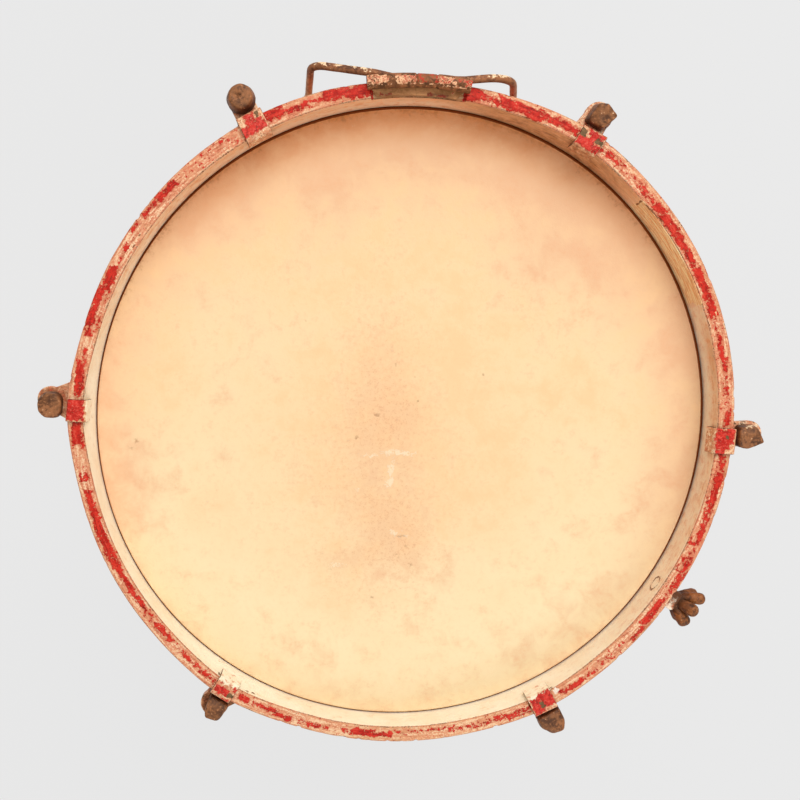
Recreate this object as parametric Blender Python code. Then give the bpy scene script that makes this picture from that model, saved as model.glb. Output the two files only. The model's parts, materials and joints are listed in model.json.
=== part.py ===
"""Side drum, rod tensioned, standing on its lower hoop with the snare side up.

Two skin heads close an open wooden shell. Each head is lapped round a flesh hoop, and a tall wooden
hoop presses the flesh hoop down. Six steel claws hook over each hoop, and six screw rods draw the
upper claws to the lower ones. The upper hoop also carries a hinged wire leg rest and the thumbscrew
of the snare strainer. The gut snares are gone.

The drum stands on the plates of its lower claws at z = 0. Lengths are in metres, +Z is up, and +Y
points to the leg rest. Angles run counter-clockwise from +X, seen from above.
"""

import math

import bmesh
import bpy
from mathutils import Matrix, Vector

MM = 0.001
GAP = 0.3 * MM  # clearance between pieces that touch

SEGMENTS = 60  # flats round every ring
CLAWS = 6  # claws on each hoop, the first one at +X

# Wooden hoops
HOOP_OUTER = 188.0 * MM
HOOP_THICK = 9.5 * MM
HOOP_HEIGHT = 38.0 * MM
HOOP_EDGE = 0.8 * MM  # worn-off outer corner
HOOP_ABOVE_HEAD = 20.0 * MM
HOOP_INNER = HOOP_OUTER - HOOP_THICK

# Shell and heads
SHELL_OUTER = 176.5 * MM
SHELL_THICK = 6.0 * MM
SHELL_DEPTH = 305.0 * MM
BEARING_EDGE = 1.2 * MM
SKIN = 0.8 * MM
SKIN_OUTER = SHELL_OUTER + GAP + SKIN
FLESH_WIDTH = 6.5 * MM
FLESH_HEIGHT = 9.0 * MM

# Claws: a strap over the hoop's rim, and an ear outside it for the rod
STRAP_WIDTH = 15.3 * MM
STRAP_THICK = 2.2 * MM
TAB_THICK = 1.4 * MM
TAB_DROP = 9.0 * MM
TAB_GAP = 0.8 * MM  # a flat tab stands off the round hoop in the middle
EAR_BELOW_RIM = 9.0 * MM
EAR_THICK = 5.0 * MM
EAR_RADIUS = 9.5 * MM
EAR_ROOT_HALF = 12.5 * MM
EAR_WAIST_HALF = 8.0 * MM
BEND = 0.8 * MM

# Tension rods
ROD_CIRCLE = 200.0 * MM
ROD_RADIUS = 3.0 * MM
ROD_HOLE = 3.5 * MM
ROD_END = 3.0 * MM  # thread left showing past the lower ear
HEAD_FLATS = 13.5 * MM
HEAD_HEIGHT = 9.0 * MM
HEAD_CHAMFER = 1.6 * MM

# Leg rest: a rolled bracket let into the rim, and a wire bail hinged in it
LEG_REST_ANGLE = math.radians(90.7)
BRACKET_LENGTH = 58.0 * MM
NOTCH_DEPTH = 2.5 * MM
LEAF_THICK = 1.1 * MM
BARREL_CIRCLE = 187.6 * MM
BARREL_RADIUS = 3.9 * MM
BARREL_ABOVE_RIM = 2.6 * MM
WIRE_RADIUS = 2.0 * MM
WIRE_CIRCLE = 186.5 * MM  # the wire is straight inside the curved barrel
WIRE_BORE = 2.3 * MM
BAIL_DROP = 82.0 * MM

# Snare strainer
SNARE_ANGLE = math.radians(-30.0)
SNARE_BELOW_RIM = 18.0 * MM
STRAINER_WIDTH = 18.0 * MM
STRAINER_HEIGHT = 22.0 * MM
STRAINER_REACH = 7.5 * MM
SCREW_RADIUS = 2.7 * MM
SCREW_HOLE = 3.1 * MM
HUB_RADIUS = 5.0 * MM
HUB_LENGTH = 5.5 * MM
PRONGS = 6
PRONG_RADIUS = 3.6 * MM
PRONG_REACH = 9.4 * MM  # from the screw's axis to the prong's tip centre
PRONG_RISE = 11.8 * MM  # from the hub's inner face to the tip centre

# Heights, from the floor up
LOWER_RIM = STRAP_THICK + GAP
LOWER_HEAD = LOWER_RIM + HOOP_ABOVE_HEAD
UPPER_HEAD = LOWER_HEAD + 2 * SKIN + 2 * GAP + SHELL_DEPTH
UPPER_RIM = UPPER_HEAD + HOOP_ABOVE_HEAD
MIDDLE = (LOWER_RIM + UPPER_RIM) / 2

# The leg rest stands out past the hoop on one side only, so the drum's axis is set back by half of
# that, which puts the middle of the whole drum's box over the origin.
REACH_AT_LEG_REST = 192.77 * MM  # from the drum's axis to the outside of the bail's corner
AXIS_Y = (HOOP_OUTER - REACH_AT_LEG_REST) / 2


def finish_of(name, colour, roughness, metallic=0.0):
    """A Principled material with one colour."""
    made = bpy.data.materials.new(name)
    made.use_nodes = True
    shader = made.node_tree.nodes["Principled BSDF"]
    shader.inputs["Base Color"].default_value = (*colour, 1.0)
    shader.inputs["Roughness"].default_value = roughness
    shader.inputs["Metallic"].default_value = metallic
    return made


def place(name, mesh, finish, parent, angle=0.0, location=(0.0, 0.0, 0.0)):
    """Put a mesh in the scene, turned about Z by an angle under its parent."""
    piece = bpy.data.objects.new(name, mesh)
    bpy.context.scene.collection.objects.link(piece)
    piece.parent = parent
    piece.location = location
    piece.rotation_euler = (0.0, 0.0, angle)
    if not mesh.materials:
        mesh.materials.append(finish)
    return piece


def mesh_of(name, bm):
    """Close a bmesh into a mesh with outward faces and smooth sides."""
    bmesh.ops.recalc_face_normals(bm, faces=bm.faces)
    made = bpy.data.meshes.new(name)
    bm.to_mesh(made)
    bm.free()
    made.shade_smooth()
    made.set_sharp_from_angle(angle=math.radians(35))
    return made


def turned(name, profile, closed=True, steps=SEGMENTS):
    """Turn (radius, height) points about Z. An open profile starts and ends on the axis."""
    bm = bmesh.new()
    points = [bm.verts.new((radius, 0.0, height)) for radius, height in profile]
    edges = [bm.edges.new(pair) for pair in zip(points, points[1:])]
    if closed:
        edges.append(bm.edges.new((points[-1], points[0])))
    bmesh.ops.spin(bm, geom=points + edges, cent=(0, 0, 0), axis=(0, 0, 1), angle=math.tau, steps=steps)
    bmesh.ops.remove_doubles(bm, verts=bm.verts, dist=0.001 * MM)
    return mesh_of(name, bm)


def prism(name, outline, low, high, upright=False):
    """Extrude an outline along Z, or, upright, an (x, z) outline along Y."""
    bm = bmesh.new()
    if upright:
        points = [bm.verts.new((x, low, z)) for x, z in outline]
        along = Vector((0.0, high - low, 0.0))
    else:
        points = [bm.verts.new((x, y, low)) for x, y in outline]
        along = Vector((0.0, 0.0, high - low))
    face = bm.faces.new(points)
    grown = bmesh.ops.extrude_face_region(bm, geom=[face])
    moved = [item for item in grown["geom"] if isinstance(item, bmesh.types.BMVert)]
    bmesh.ops.translate(bm, verts=moved, vec=along)
    return mesh_of(name, bm)


def turns_round(sides, offset=0.0):
    """Evenly spaced angles round a circle, in radians, the first one moved on by part of a step."""
    return [math.tau * (side + offset) / sides for side in range(sides)]


def bridged(name, rings):
    """A closed tube through rings of points that have the same count, with flat ends."""
    bm = bmesh.new()
    rows = [[bm.verts.new(point) for point in ring] for ring in rings]
    for first, second in zip(rows, rows[1:]):
        for side in range(len(first)):
            after = (side + 1) % len(first)
            bm.faces.new((first[side], first[after], second[after], second[side]))
    bm.faces.new(rows[0])
    bm.faces.new(rows[-1])
    return mesh_of(name, bm)


def cylinder(name, radius, start, end, steps):
    """A closed cylinder between two points."""
    start, end = Vector(start), Vector(end)
    span = end - start
    bm = bmesh.new()
    bmesh.ops.create_cone(
        bm, cap_ends=True, segments=steps, radius1=radius, radius2=radius, depth=span.length
    )
    turn = Vector((0, 0, 1)).rotation_difference(span).to_matrix().to_4x4()
    bm.transform(Matrix.Translation((start + end) / 2) @ turn)
    return mesh_of(name, bm)


def combined(name, base, operations):
    """Apply Boolean operations, given as (operation, mesh) pairs, to a base mesh."""
    holder = bpy.data.objects.new(name, base)
    bpy.context.scene.collection.objects.link(holder)
    helpers = []
    for operation, other in operations:
        helper = bpy.data.objects.new(name + "_tool", other)
        bpy.context.scene.collection.objects.link(helper)
        modifier = holder.modifiers.new(operation, "BOOLEAN")
        modifier.operation = operation
        modifier.object = helper
        helpers.append(helper)
    graph = bpy.context.evaluated_depsgraph_get()
    made = bpy.data.meshes.new_from_object(holder.evaluated_get(graph))
    made.name = name
    made.shade_smooth()
    made.set_sharp_from_angle(angle=math.radians(35))
    for helper in [holder, *helpers]:
        bpy.data.objects.remove(helper)
    return made


def arc(centre, radius, start, end, steps):
    """Points on an arc, with both ends, for angles in degrees."""
    angles = [math.radians(start + (end - start) * step / steps) for step in range(steps + 1)]
    return [(centre[0] + radius * math.cos(a), centre[1] + radius * math.sin(a)) for a in angles]


def rounded_path(corners, steps):
    """A closed path through 3-D corners, each given as (point, radius), with arcs at the corners."""
    path = []
    for index, (corner, radius) in enumerate(corners):
        corner = Vector(corner)
        before = (Vector(corners[index - 1][0]) - corner).normalized()
        after = (Vector(corners[(index + 1) % len(corners)][0]) - corner).normalized()
        half = before.angle(after) / 2
        centre = corner + (before + after).normalized() * radius / math.sin(half)
        start = corner + before * radius / math.tan(half) - centre
        end = corner + after * radius / math.tan(half) - centre
        swing = start.angle(end)
        for step in range(steps + 1):
            share = step / steps
            a = math.sin((1 - share) * swing) / math.sin(swing)
            b = math.sin(share * swing) / math.sin(swing)
            path.append(centre + a * start + b * end)
    return path


def shell_mesh():
    half = SHELL_DEPTH / 2
    inner = SHELL_OUTER - SHELL_THICK
    slope = SHELL_THICK - BEARING_EDGE
    return turned(
        "shell",
        [
            (SHELL_OUTER, half - BEARING_EDGE),
            (SHELL_OUTER, -half + BEARING_EDGE),
            (SHELL_OUTER - BEARING_EDGE, -half),
            (inner, -half + slope),
            (inner, half - slope),
            (SHELL_OUTER - BEARING_EDGE, half),
        ],
    )


def head_mesh(name):
    """A skin, playing surface up at z = 0, lapped down, under and up the outside of its flesh hoop."""
    collar = SKIN_OUTER - SKIN
    flesh_top = HOOP_ABOVE_HEAD - HOOP_HEIGHT - GAP
    flesh_bottom = flesh_top - FLESH_HEIGHT
    lap_inner = SKIN_OUTER + FLESH_WIDTH + 2 * GAP
    lap_top = flesh_top - 1.0 * MM
    return turned(
        name,
        [
            (0.0, 0.0),
            (collar, 0.0),
            (SKIN_OUTER, -SKIN),
            (SKIN_OUTER, flesh_bottom - GAP),
            (lap_inner, flesh_bottom - GAP),
            (lap_inner, lap_top),
            (lap_inner + SKIN, lap_top),
            (lap_inner + SKIN, flesh_bottom - GAP - SKIN),
            (collar, flesh_bottom - GAP - SKIN),
            (collar, -SKIN),
            (0.0, -SKIN),
        ],
        closed=False,
    )


def flesh_hoop_mesh():
    """The ring that the skin is lapped on, its top face at z = 0."""
    inner = SKIN_OUTER + GAP
    return turned(
        "flesh_hoop",
        [
            (inner, 0.0),
            (inner + FLESH_WIDTH, 0.0),
            (inner + FLESH_WIDTH, -FLESH_HEIGHT),
            (inner, -FLESH_HEIGHT),
        ],
    )


def hoop_mesh(name):
    """A wooden hoop with its free rim at z = 0 and its body below."""
    return turned(
        name,
        [
            (HOOP_INNER, 0.0),
            (HOOP_OUTER - HOOP_EDGE, 0.0),
            (HOOP_OUTER, -HOOP_EDGE),
            (HOOP_OUTER, -HOOP_HEIGHT),
            (HOOP_INNER, -HOOP_HEIGHT),
        ],
    )


def notched_hoop_mesh():
    """The upper hoop, with a shallow notch in its rim for the leg-rest bracket."""
    half = BRACKET_LENGTH / 2 + GAP
    notch = prism(
        "notch",
        [(HOOP_INNER - 5 * MM, -half), (HOOP_OUTER + 5 * MM, -half),
         (HOOP_OUTER + 5 * MM, half), (HOOP_INNER - 5 * MM, half)],
        -NOTCH_DEPTH,
        5 * MM,
    )
    notch.transform(Matrix.Rotation(LEG_REST_ANGLE, 4, "Z"))
    return combined("upper_hoop", hoop_mesh("hoop"), [("DIFFERENCE", notch)])


def claw_mesh():
    """A claw for a rim at z = 0, with +X outward: strap over the rim, then an ear with a hole."""
    face = HOOP_OUTER + GAP
    inner = HOOP_INNER - TAB_GAP
    top = GAP + STRAP_THICK
    outer = face + STRAP_THICK
    foot = -EAR_BELOW_RIM - EAR_THICK
    strap = prism(
        "strap",
        [
            (inner, -TAB_DROP),
            (inner, GAP),
            (face, GAP),
            (face, foot),
            (outer, foot),
            (outer, top - BEND),
            (outer - BEND, top),
            (inner - TAB_THICK + BEND, top),
            (inner - TAB_THICK, top - BEND),
            (inner - TAB_THICK, -TAB_DROP),
        ],
        -STRAP_WIDTH / 2,
        STRAP_WIDTH / 2,
        upright=True,
    )
    waist = face + 6 * MM
    outline = [(face, EAR_ROOT_HALF), (face, -EAR_ROOT_HALF), (face + 2 * MM, -EAR_ROOT_HALF + 2 * MM)]
    outline.append((waist, -EAR_WAIST_HALF))
    outline += arc((ROD_CIRCLE, 0.0), EAR_RADIUS, -110, 110, 10)
    outline += [(waist, EAR_WAIST_HALF), (face + 2 * MM, EAR_ROOT_HALF - 2 * MM)]
    ear = prism("ear", outline, foot, -EAR_BELOW_RIM)
    hole = cylinder("hole", ROD_HOLE, (ROD_CIRCLE, 0, foot - MM), (ROD_CIRCLE, 0, MM - EAR_BELOW_RIM), 12)
    return combined("claw", strap, [("UNION", ear), ("DIFFERENCE", hole)])


def rod_mesh():
    """A rod with a six-sided head, hanging from the underside of its head at z = 0."""
    length = UPPER_RIM - LOWER_RIM - 2 * EAR_BELOW_RIM - EAR_THICK + GAP + ROD_END
    corner = HEAD_FLATS / math.sqrt(3)
    sections = [
        (corner, 0.0),
        (corner, HEAD_HEIGHT - HEAD_CHAMFER),
        (corner - HEAD_CHAMFER, HEAD_HEIGHT),
    ]
    rings = [[(r * math.cos(t), r * math.sin(t), z) for t in turns_round(6)] for r, z in sections]
    head = bridged("rod_head", rings)
    shank = cylinder("shank", ROD_RADIUS, (0, 0, -length), (0, 0, HEAD_HEIGHT / 2), 12)
    return combined("rod", head, [("UNION", shank)])


def bracket_mesh():
    """The leg-rest bracket, with +X outward and the rim at z = 0: a leaf and a rolled barrel."""
    half_turn = BRACKET_LENGTH / 2 / BARREL_CIRCLE
    steps = 10
    turns = [half_turn * (2 * step / steps - 1) for step in range(steps + 1)]
    floor = GAP - NOTCH_DEPTH
    leaf_outline = [(HOOP_INNER + 0.5 * MM, t) for t in turns]
    leaf_outline += [(BARREL_CIRCLE, t) for t in reversed(turns)]
    leaf = prism(
        "leaf",
        [(r * math.cos(t), r * math.sin(t)) for r, t in leaf_outline],
        floor,
        floor + LEAF_THICK,
    )
    rings = []
    for t in turns:
        ring = []
        for c in turns_round(12):
            radius = BARREL_CIRCLE + BARREL_RADIUS * math.cos(c)
            height = BARREL_ABOVE_RIM + BARREL_RADIUS * math.sin(c)
            ring.append((radius * math.cos(t), radius * math.sin(t), height))
        rings.append(ring)
    barrel = bridged("barrel", rings)
    bore = cylinder(
        "bore",
        WIRE_BORE,
        (WIRE_CIRCLE, -BRACKET_LENGTH, BARREL_ABOVE_RIM),
        (WIRE_CIRCLE, BRACKET_LENGTH, BARREL_ABOVE_RIM),
        12,
    )
    return combined("bracket", barrel, [("UNION", leaf), ("DIFFERENCE", bore)])


def bail_curve():
    """The wire bail about its hinge axis: +X along the axis, +Y outward from the drum, hanging down."""
    corners = [
        ((-31 * MM, 0.0, 0.0), 30 * MM),
        ((-59 * MM, 5.5 * MM, 0.0), 7 * MM),
        ((-65 * MM, -2.3 * MM, -BAIL_DROP), 12 * MM),
        ((57.5 * MM, -2.3 * MM, -BAIL_DROP), 12 * MM),
        ((53.5 * MM, 4.4 * MM, 0.0), 11 * MM),
        ((31 * MM, 0.0, 0.0), 20 * MM),
    ]
    path = rounded_path(corners, 5)
    curve = bpy.data.curves.new("leg_rest_bail", "CURVE")
    curve.dimensions = "3D"
    curve.bevel_depth = WIRE_RADIUS
    curve.bevel_resolution = 2
    spline = curve.splines.new("POLY")
    spline.points.add(len(path) - 1)
    for point, place_at in zip(spline.points, path):
        point.co = (*place_at, 1.0)
    spline.use_cyclic_u = True
    return curve


def strainer_mesh():
    """The strainer's block on the hoop's outer face, bored for the screw along +X."""
    face = HOOP_OUTER + GAP
    reach = face + STRAINER_REACH
    half = STRAINER_WIDTH / 2
    corner = 2 * MM
    block = prism(
        "block",
        [(face, -half), (reach - corner, -half), (reach, -half + corner),
         (reach, half - corner), (reach - corner, half), (face, half)],
        -STRAINER_HEIGHT / 2,
        STRAINER_HEIGHT / 2,
    )
    hole = cylinder("hole", SCREW_HOLE, (face - MM, 0, 0), (reach + MM, 0, 0), 24)
    return combined("strainer", block, [("DIFFERENCE", hole)])


def thumbscrew_mesh():
    """The screw along +X from its inner tip at x = 0: a shank, a hub and a crown of splayed prongs."""
    hub_start = STRAINER_REACH + GAP
    hub_end = hub_start + HUB_LENGTH
    sections = [
        (SCREW_RADIUS, 0.0),
        (SCREW_RADIUS, hub_start),
        (HUB_RADIUS, hub_start),
        (HUB_RADIUS + MM, hub_end),
    ]
    rings = [
        [(x, r * math.cos(t), r * math.sin(t)) for t in turns_round(12, 0.5)] for r, x in sections
    ]
    body = bridged("screw_body", rings)
    prongs = []
    for turn in turns_round(PRONGS):
        outward = Vector((0.0, math.sin(turn), math.cos(turn)))
        root = Vector((hub_start + PRONG_RADIUS, 0.0, 0.0)) + outward * 2 * MM
        tip = Vector((hub_start + PRONG_RISE, 0.0, 0.0)) + outward * PRONG_REACH
        prongs.append(("UNION", prong_mesh(root, tip)))
    return combined("thumbscrew", body, prongs)


def prong_mesh(root, tip):
    """A prong from root to tip, thinner at the root, with a rounded end."""
    span = tip - root
    stations = [
        (0.0, 0.75),
        (1.0, 1.0),
        (1.0 + 0.6 * PRONG_RADIUS / span.length, 0.8),
        (1.0 + PRONG_RADIUS / span.length, 0.35),
    ]
    turn = Vector((0, 0, 1)).rotation_difference(span).to_matrix()
    rings = []
    for along, width in stations:
        spokes = [Vector((math.cos(t), math.sin(t), 0.0)) for t in turns_round(8)]
        rings.append([root + span * along + turn @ spoke * PRONG_RADIUS * width for spoke in spokes])
    return bridged("prong", rings)


def flipped(mesh, name):
    """A copy mirrored in height, for the lower end of the drum."""
    made = mesh.copy()
    made.name = name
    made.transform(Matrix.Scale(-1, 4, (0, 0, 1)))
    made.flip_normals()
    return made


def build_body(root):
    """The shell, the heads, their flesh hoops and the wooden hoops."""
    shell_paint = finish_of("shell_paint", (0.62, 0.52, 0.38), 0.6)
    skin = finish_of("skin", (0.78, 0.58, 0.38), 0.5)
    bare_wood = finish_of("bare_wood", (0.35, 0.20, 0.10), 0.7)
    hoop_paint = finish_of("hoop_paint", (0.55, 0.10, 0.06), 0.5)
    flesh_offset = HOOP_ABOVE_HEAD - HOOP_HEIGHT - GAP
    place("shell", shell_mesh(), shell_paint, root, location=(0, 0, MIDDLE))
    upper_head = head_mesh("upper_head")
    place("upper_head", upper_head, skin, root, location=(0, 0, UPPER_HEAD))
    place("lower_head", flipped(upper_head, "lower_head"), skin, root, location=(0, 0, LOWER_HEAD))
    flesh = flesh_hoop_mesh()
    lower_flesh = flipped(flesh, "lower_flesh_hoop")
    place("upper_flesh_hoop", flesh, bare_wood, root, location=(0, 0, UPPER_HEAD + flesh_offset))
    place("lower_flesh_hoop", lower_flesh, bare_wood, root, location=(0, 0, LOWER_HEAD - flesh_offset))
    place("upper_hoop", notched_hoop_mesh(), hoop_paint, root, location=(0, 0, UPPER_RIM))
    lower_hoop = flipped(hoop_mesh("hoop"), "lower_hoop")
    place("lower_hoop", lower_hoop, hoop_paint, root, location=(0, 0, LOWER_RIM))


def build_tension(root):
    """The claws on both hoops and the rods between them."""
    claw_paint = finish_of("claw_paint", (0.58, 0.12, 0.08), 0.5)
    rusty_steel = finish_of("rusty_steel", (0.20, 0.10, 0.06), 0.6, 0.6)
    claw = claw_mesh()
    lower_claw = flipped(claw, "lower_claw")
    rod = rod_mesh()
    for number in range(CLAWS):
        angle = math.tau * number / CLAWS
        at_rod = (ROD_CIRCLE * math.cos(angle), ROD_CIRCLE * math.sin(angle))
        under_head = UPPER_RIM - EAR_BELOW_RIM + GAP
        place(f"upper_claw_{number + 1}", claw, claw_paint, root, angle, (0, 0, UPPER_RIM))
        place(f"lower_claw_{number + 1}", lower_claw, claw_paint, root, angle, (0, 0, LOWER_RIM))
        place(f"tension_rod_{number + 1}", rod, rusty_steel, root, angle, (*at_rod, under_head))


def build_leg_rest(root):
    """The bracket in the rim and the wire bail, whose origin is on the hinge axis."""
    bracket_paint = finish_of("bracket_paint", (0.50, 0.28, 0.18), 0.6)
    wire_steel = finish_of("wire_steel", (0.24, 0.13, 0.08), 0.6, 0.6)
    place("leg_rest_bracket", bracket_mesh(), bracket_paint, root, LEG_REST_ANGLE, (0, 0, UPPER_RIM))
    hinge = Vector((math.cos(LEG_REST_ANGLE), math.sin(LEG_REST_ANGLE), 0.0)) * WIRE_CIRCLE
    hinge.z = UPPER_RIM + BARREL_ABOVE_RIM
    place("leg_rest_bail", bail_curve(), wire_steel, root, LEG_REST_ANGLE - math.pi / 2, hinge)


def build_strainer(root):
    """The strainer's block and its thumbscrew, whose origin is on the screw's axis."""
    block_paint = finish_of("block_paint", (0.62, 0.48, 0.32), 0.6)
    screw_steel = finish_of("screw_steel", (0.16, 0.08, 0.05), 0.55, 0.6)
    height = UPPER_RIM - SNARE_BELOW_RIM
    place("snare_strainer", strainer_mesh(), block_paint, root, SNARE_ANGLE, (0, 0, height))
    outward = Vector((math.cos(SNARE_ANGLE), math.sin(SNARE_ANGLE), 0.0))
    tip = outward * (HOOP_OUTER + GAP)
    tip.z = height
    place("snare_thumbscrew", thumbscrew_mesh(), screw_steel, root, SNARE_ANGLE, tip)


def main():
    for leftover in list(bpy.data.objects):
        bpy.data.objects.remove(leftover)
    root = bpy.data.objects.new("drum", None)
    bpy.context.scene.collection.objects.link(root)
    root.location = (0.0, AXIS_Y, 0.0)
    build_body(root)
    build_tension(root)
    build_leg_rest(root)
    build_strainer(root)


main()
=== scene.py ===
"""Looks of the side drum: worn calfskin, red paint over cream, rusted iron, and soft studio light.

Shapes are worked out in millimetres about the drum's axis, with height measured from the rim of the
hoop they belong to. Degrees run counter-clockwise from +X, seen from above. Colours are given from 0
to 255, as they look on a level surface.
"""

import json
import math

import bmesh
import bpy
import numpy as np
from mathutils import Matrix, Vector


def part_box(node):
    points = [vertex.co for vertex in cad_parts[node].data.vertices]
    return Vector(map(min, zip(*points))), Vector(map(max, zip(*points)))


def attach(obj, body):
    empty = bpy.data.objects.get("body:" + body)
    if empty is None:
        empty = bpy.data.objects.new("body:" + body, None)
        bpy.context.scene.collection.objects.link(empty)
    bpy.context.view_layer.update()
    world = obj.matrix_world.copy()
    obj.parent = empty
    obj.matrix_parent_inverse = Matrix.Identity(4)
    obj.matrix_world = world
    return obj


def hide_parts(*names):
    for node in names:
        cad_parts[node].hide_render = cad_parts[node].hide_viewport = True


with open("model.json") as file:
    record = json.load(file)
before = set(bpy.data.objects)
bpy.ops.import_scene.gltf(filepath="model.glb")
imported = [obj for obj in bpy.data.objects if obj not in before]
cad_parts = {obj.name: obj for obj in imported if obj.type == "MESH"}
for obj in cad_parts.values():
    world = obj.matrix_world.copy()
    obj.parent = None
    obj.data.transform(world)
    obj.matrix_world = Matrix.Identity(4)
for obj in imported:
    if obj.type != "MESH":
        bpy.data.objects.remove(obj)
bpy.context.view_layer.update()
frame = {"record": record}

MM = 0.001

# Taken from the CAD
hoop_low, hoop_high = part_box("upper_hoop")
AXIS = ((hoop_low.x + hoop_high.x) / 2, (hoop_low.y + hoop_high.y) / 2)
RIM = hoop_high.z
LOWER_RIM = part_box("lower_hoop")[0].z
OUTER = (hoop_high.x - hoop_low.x) / 2 / MM
HOOP_HEIGHT = (hoop_high.z - hoop_low.z) / MM
HEAD_DROP = (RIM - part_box("upper_head")[1].z) / MM
SHELL_LOW, SHELL_HIGH = (corner.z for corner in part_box("shell"))
SHELL_R = (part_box("shell")[1].x - AXIS[0]) / MM

# The rim's inner edge, the skin's side, the rods' axes, and where the strainer starts, just off the
# hoop's side, all from the drum's axis
INNER = OUTER - 9.5
SKIN_R = SHELL_R + 1.1
ROD_REACH = 200.0
STRAINER_REACH = OUTER + 0.3

# Where the claws, the leg rest and the thumbscrew are round the drum
CLAW_DEGREES = [0, 60, 120, 180, 240, 300]
REST_DEGREES = 90.7
SCREW_DEGREES = -30.0

# How many millimetres a degree is along the rim
PER_DEGREE = 3.2

# How many cells noise has before it repeats
CELLS = 512

# How bright the studio makes a level white surface, so that a colour can be given as it looks
LIGHT = 1.12

# How much smaller than new the hoops have dried
SHRUNK = 0.5

# How far round the lower hoop's stains are from the upper one's
STAINS_TURNED = 70

# Where the upper hoop's rim leans out beside a claw, and is dented in by the leg rest: (degrees,
# millimetres, half width in degrees)
LEANS = [(60, 1.3, 9), (180, 2.6, 9), (240, 2.3, 10), (300, 1.5, 9)]
DENT = (88, -1.6, 14)

# The two creams of the clean paint inside the hoop, and of the paint left on the claws
CREAMS = ((262, 250, 224), (260, 241, 210))
PLATE_CREAMS = ((254, 240, 208), (248, 224, 184))


def smooth(low, high, value):
    """0 below low, 1 above high, and a smooth rise between."""
    share = np.clip((value - low) / (high - low), 0, 1)
    return share * share * (3 - 2 * share)


def noise(u, v, seed, around=CELLS):
    """Smooth noise from -1 to 1 with cells one unit wide, repeating after `around` cells in u."""
    values = np.random.default_rng(seed).uniform(-1, 1, (around, CELLS))
    left, low = np.floor(u), np.floor(v)
    across, up = smooth(0, 1, u - left), smooth(0, 1, v - low)
    a, b = (left % around).astype(int), ((left + 1) % around).astype(int)
    c, d = (low % CELLS).astype(int), ((low + 1) % CELLS).astype(int)
    below = values[a, c] * (1 - across) + values[b, c] * across
    above = values[a, d] * (1 - across) + values[b, d] * across
    return below * (1 - up) + above * up


def cloud(u, v, size, seed, start=40):
    """Noise with cells `size` millimetres wide."""
    return noise(u / size + start, v / size + start, seed)


def round_noise(degrees, cells, v, seed):
    """Noise with so many cells round the drum."""
    return noise(degrees / 360 * cells, v, seed, cells)


def turn_to(degrees, wanted):
    """The signed angle in degrees from one direction to another."""
    return (degrees - wanted + 180) % 360 - 180


def tone(red, green, blue):
    """The paint that looks like this colour on a level surface."""
    linear = [((c / 255 + 0.055) / 1.055) ** 2.4 if c > 10 else c / 255 / 12.92 for c in (red, green, blue)]
    return (*[min(c / LIGHT, 0.98) for c in linear], 1.0)


class Value:
    """A number or colour that nodes work out at every point of a surface."""

    def __init__(self, look, socket):
        self.look = look
        self.socket = socket

    def math(self, operation, *others):
        inputs = dict(enumerate((self, *others)))
        return self.look.node("ShaderNodeMath", inputs, operation=operation)

    def __add__(self, other):
        return self.math("ADD", other)

    def __sub__(self, other):
        return self.math("SUBTRACT", other)

    def __mul__(self, other):
        return self.math("MULTIPLY", other)

    def sway(self, amount):
        """A 0 to 1 value turned into one that swings `amount` either side of 0."""
        return self.math("MULTIPLY_ADD", 2 * amount, -amount)

    def step(self, low, high):
        """0 at low and 1 at high, with a smooth step between."""
        inputs = {"Value": self, "From Min": low, "From Max": high}
        return self.look.node("ShaderNodeMapRange", inputs, interpolation_type="SMOOTHSTEP")

    def blend(self, low, high, first, second):
        """One colour at low and another at high."""
        return self.look.mix(self.step(low, high), first, second)


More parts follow.
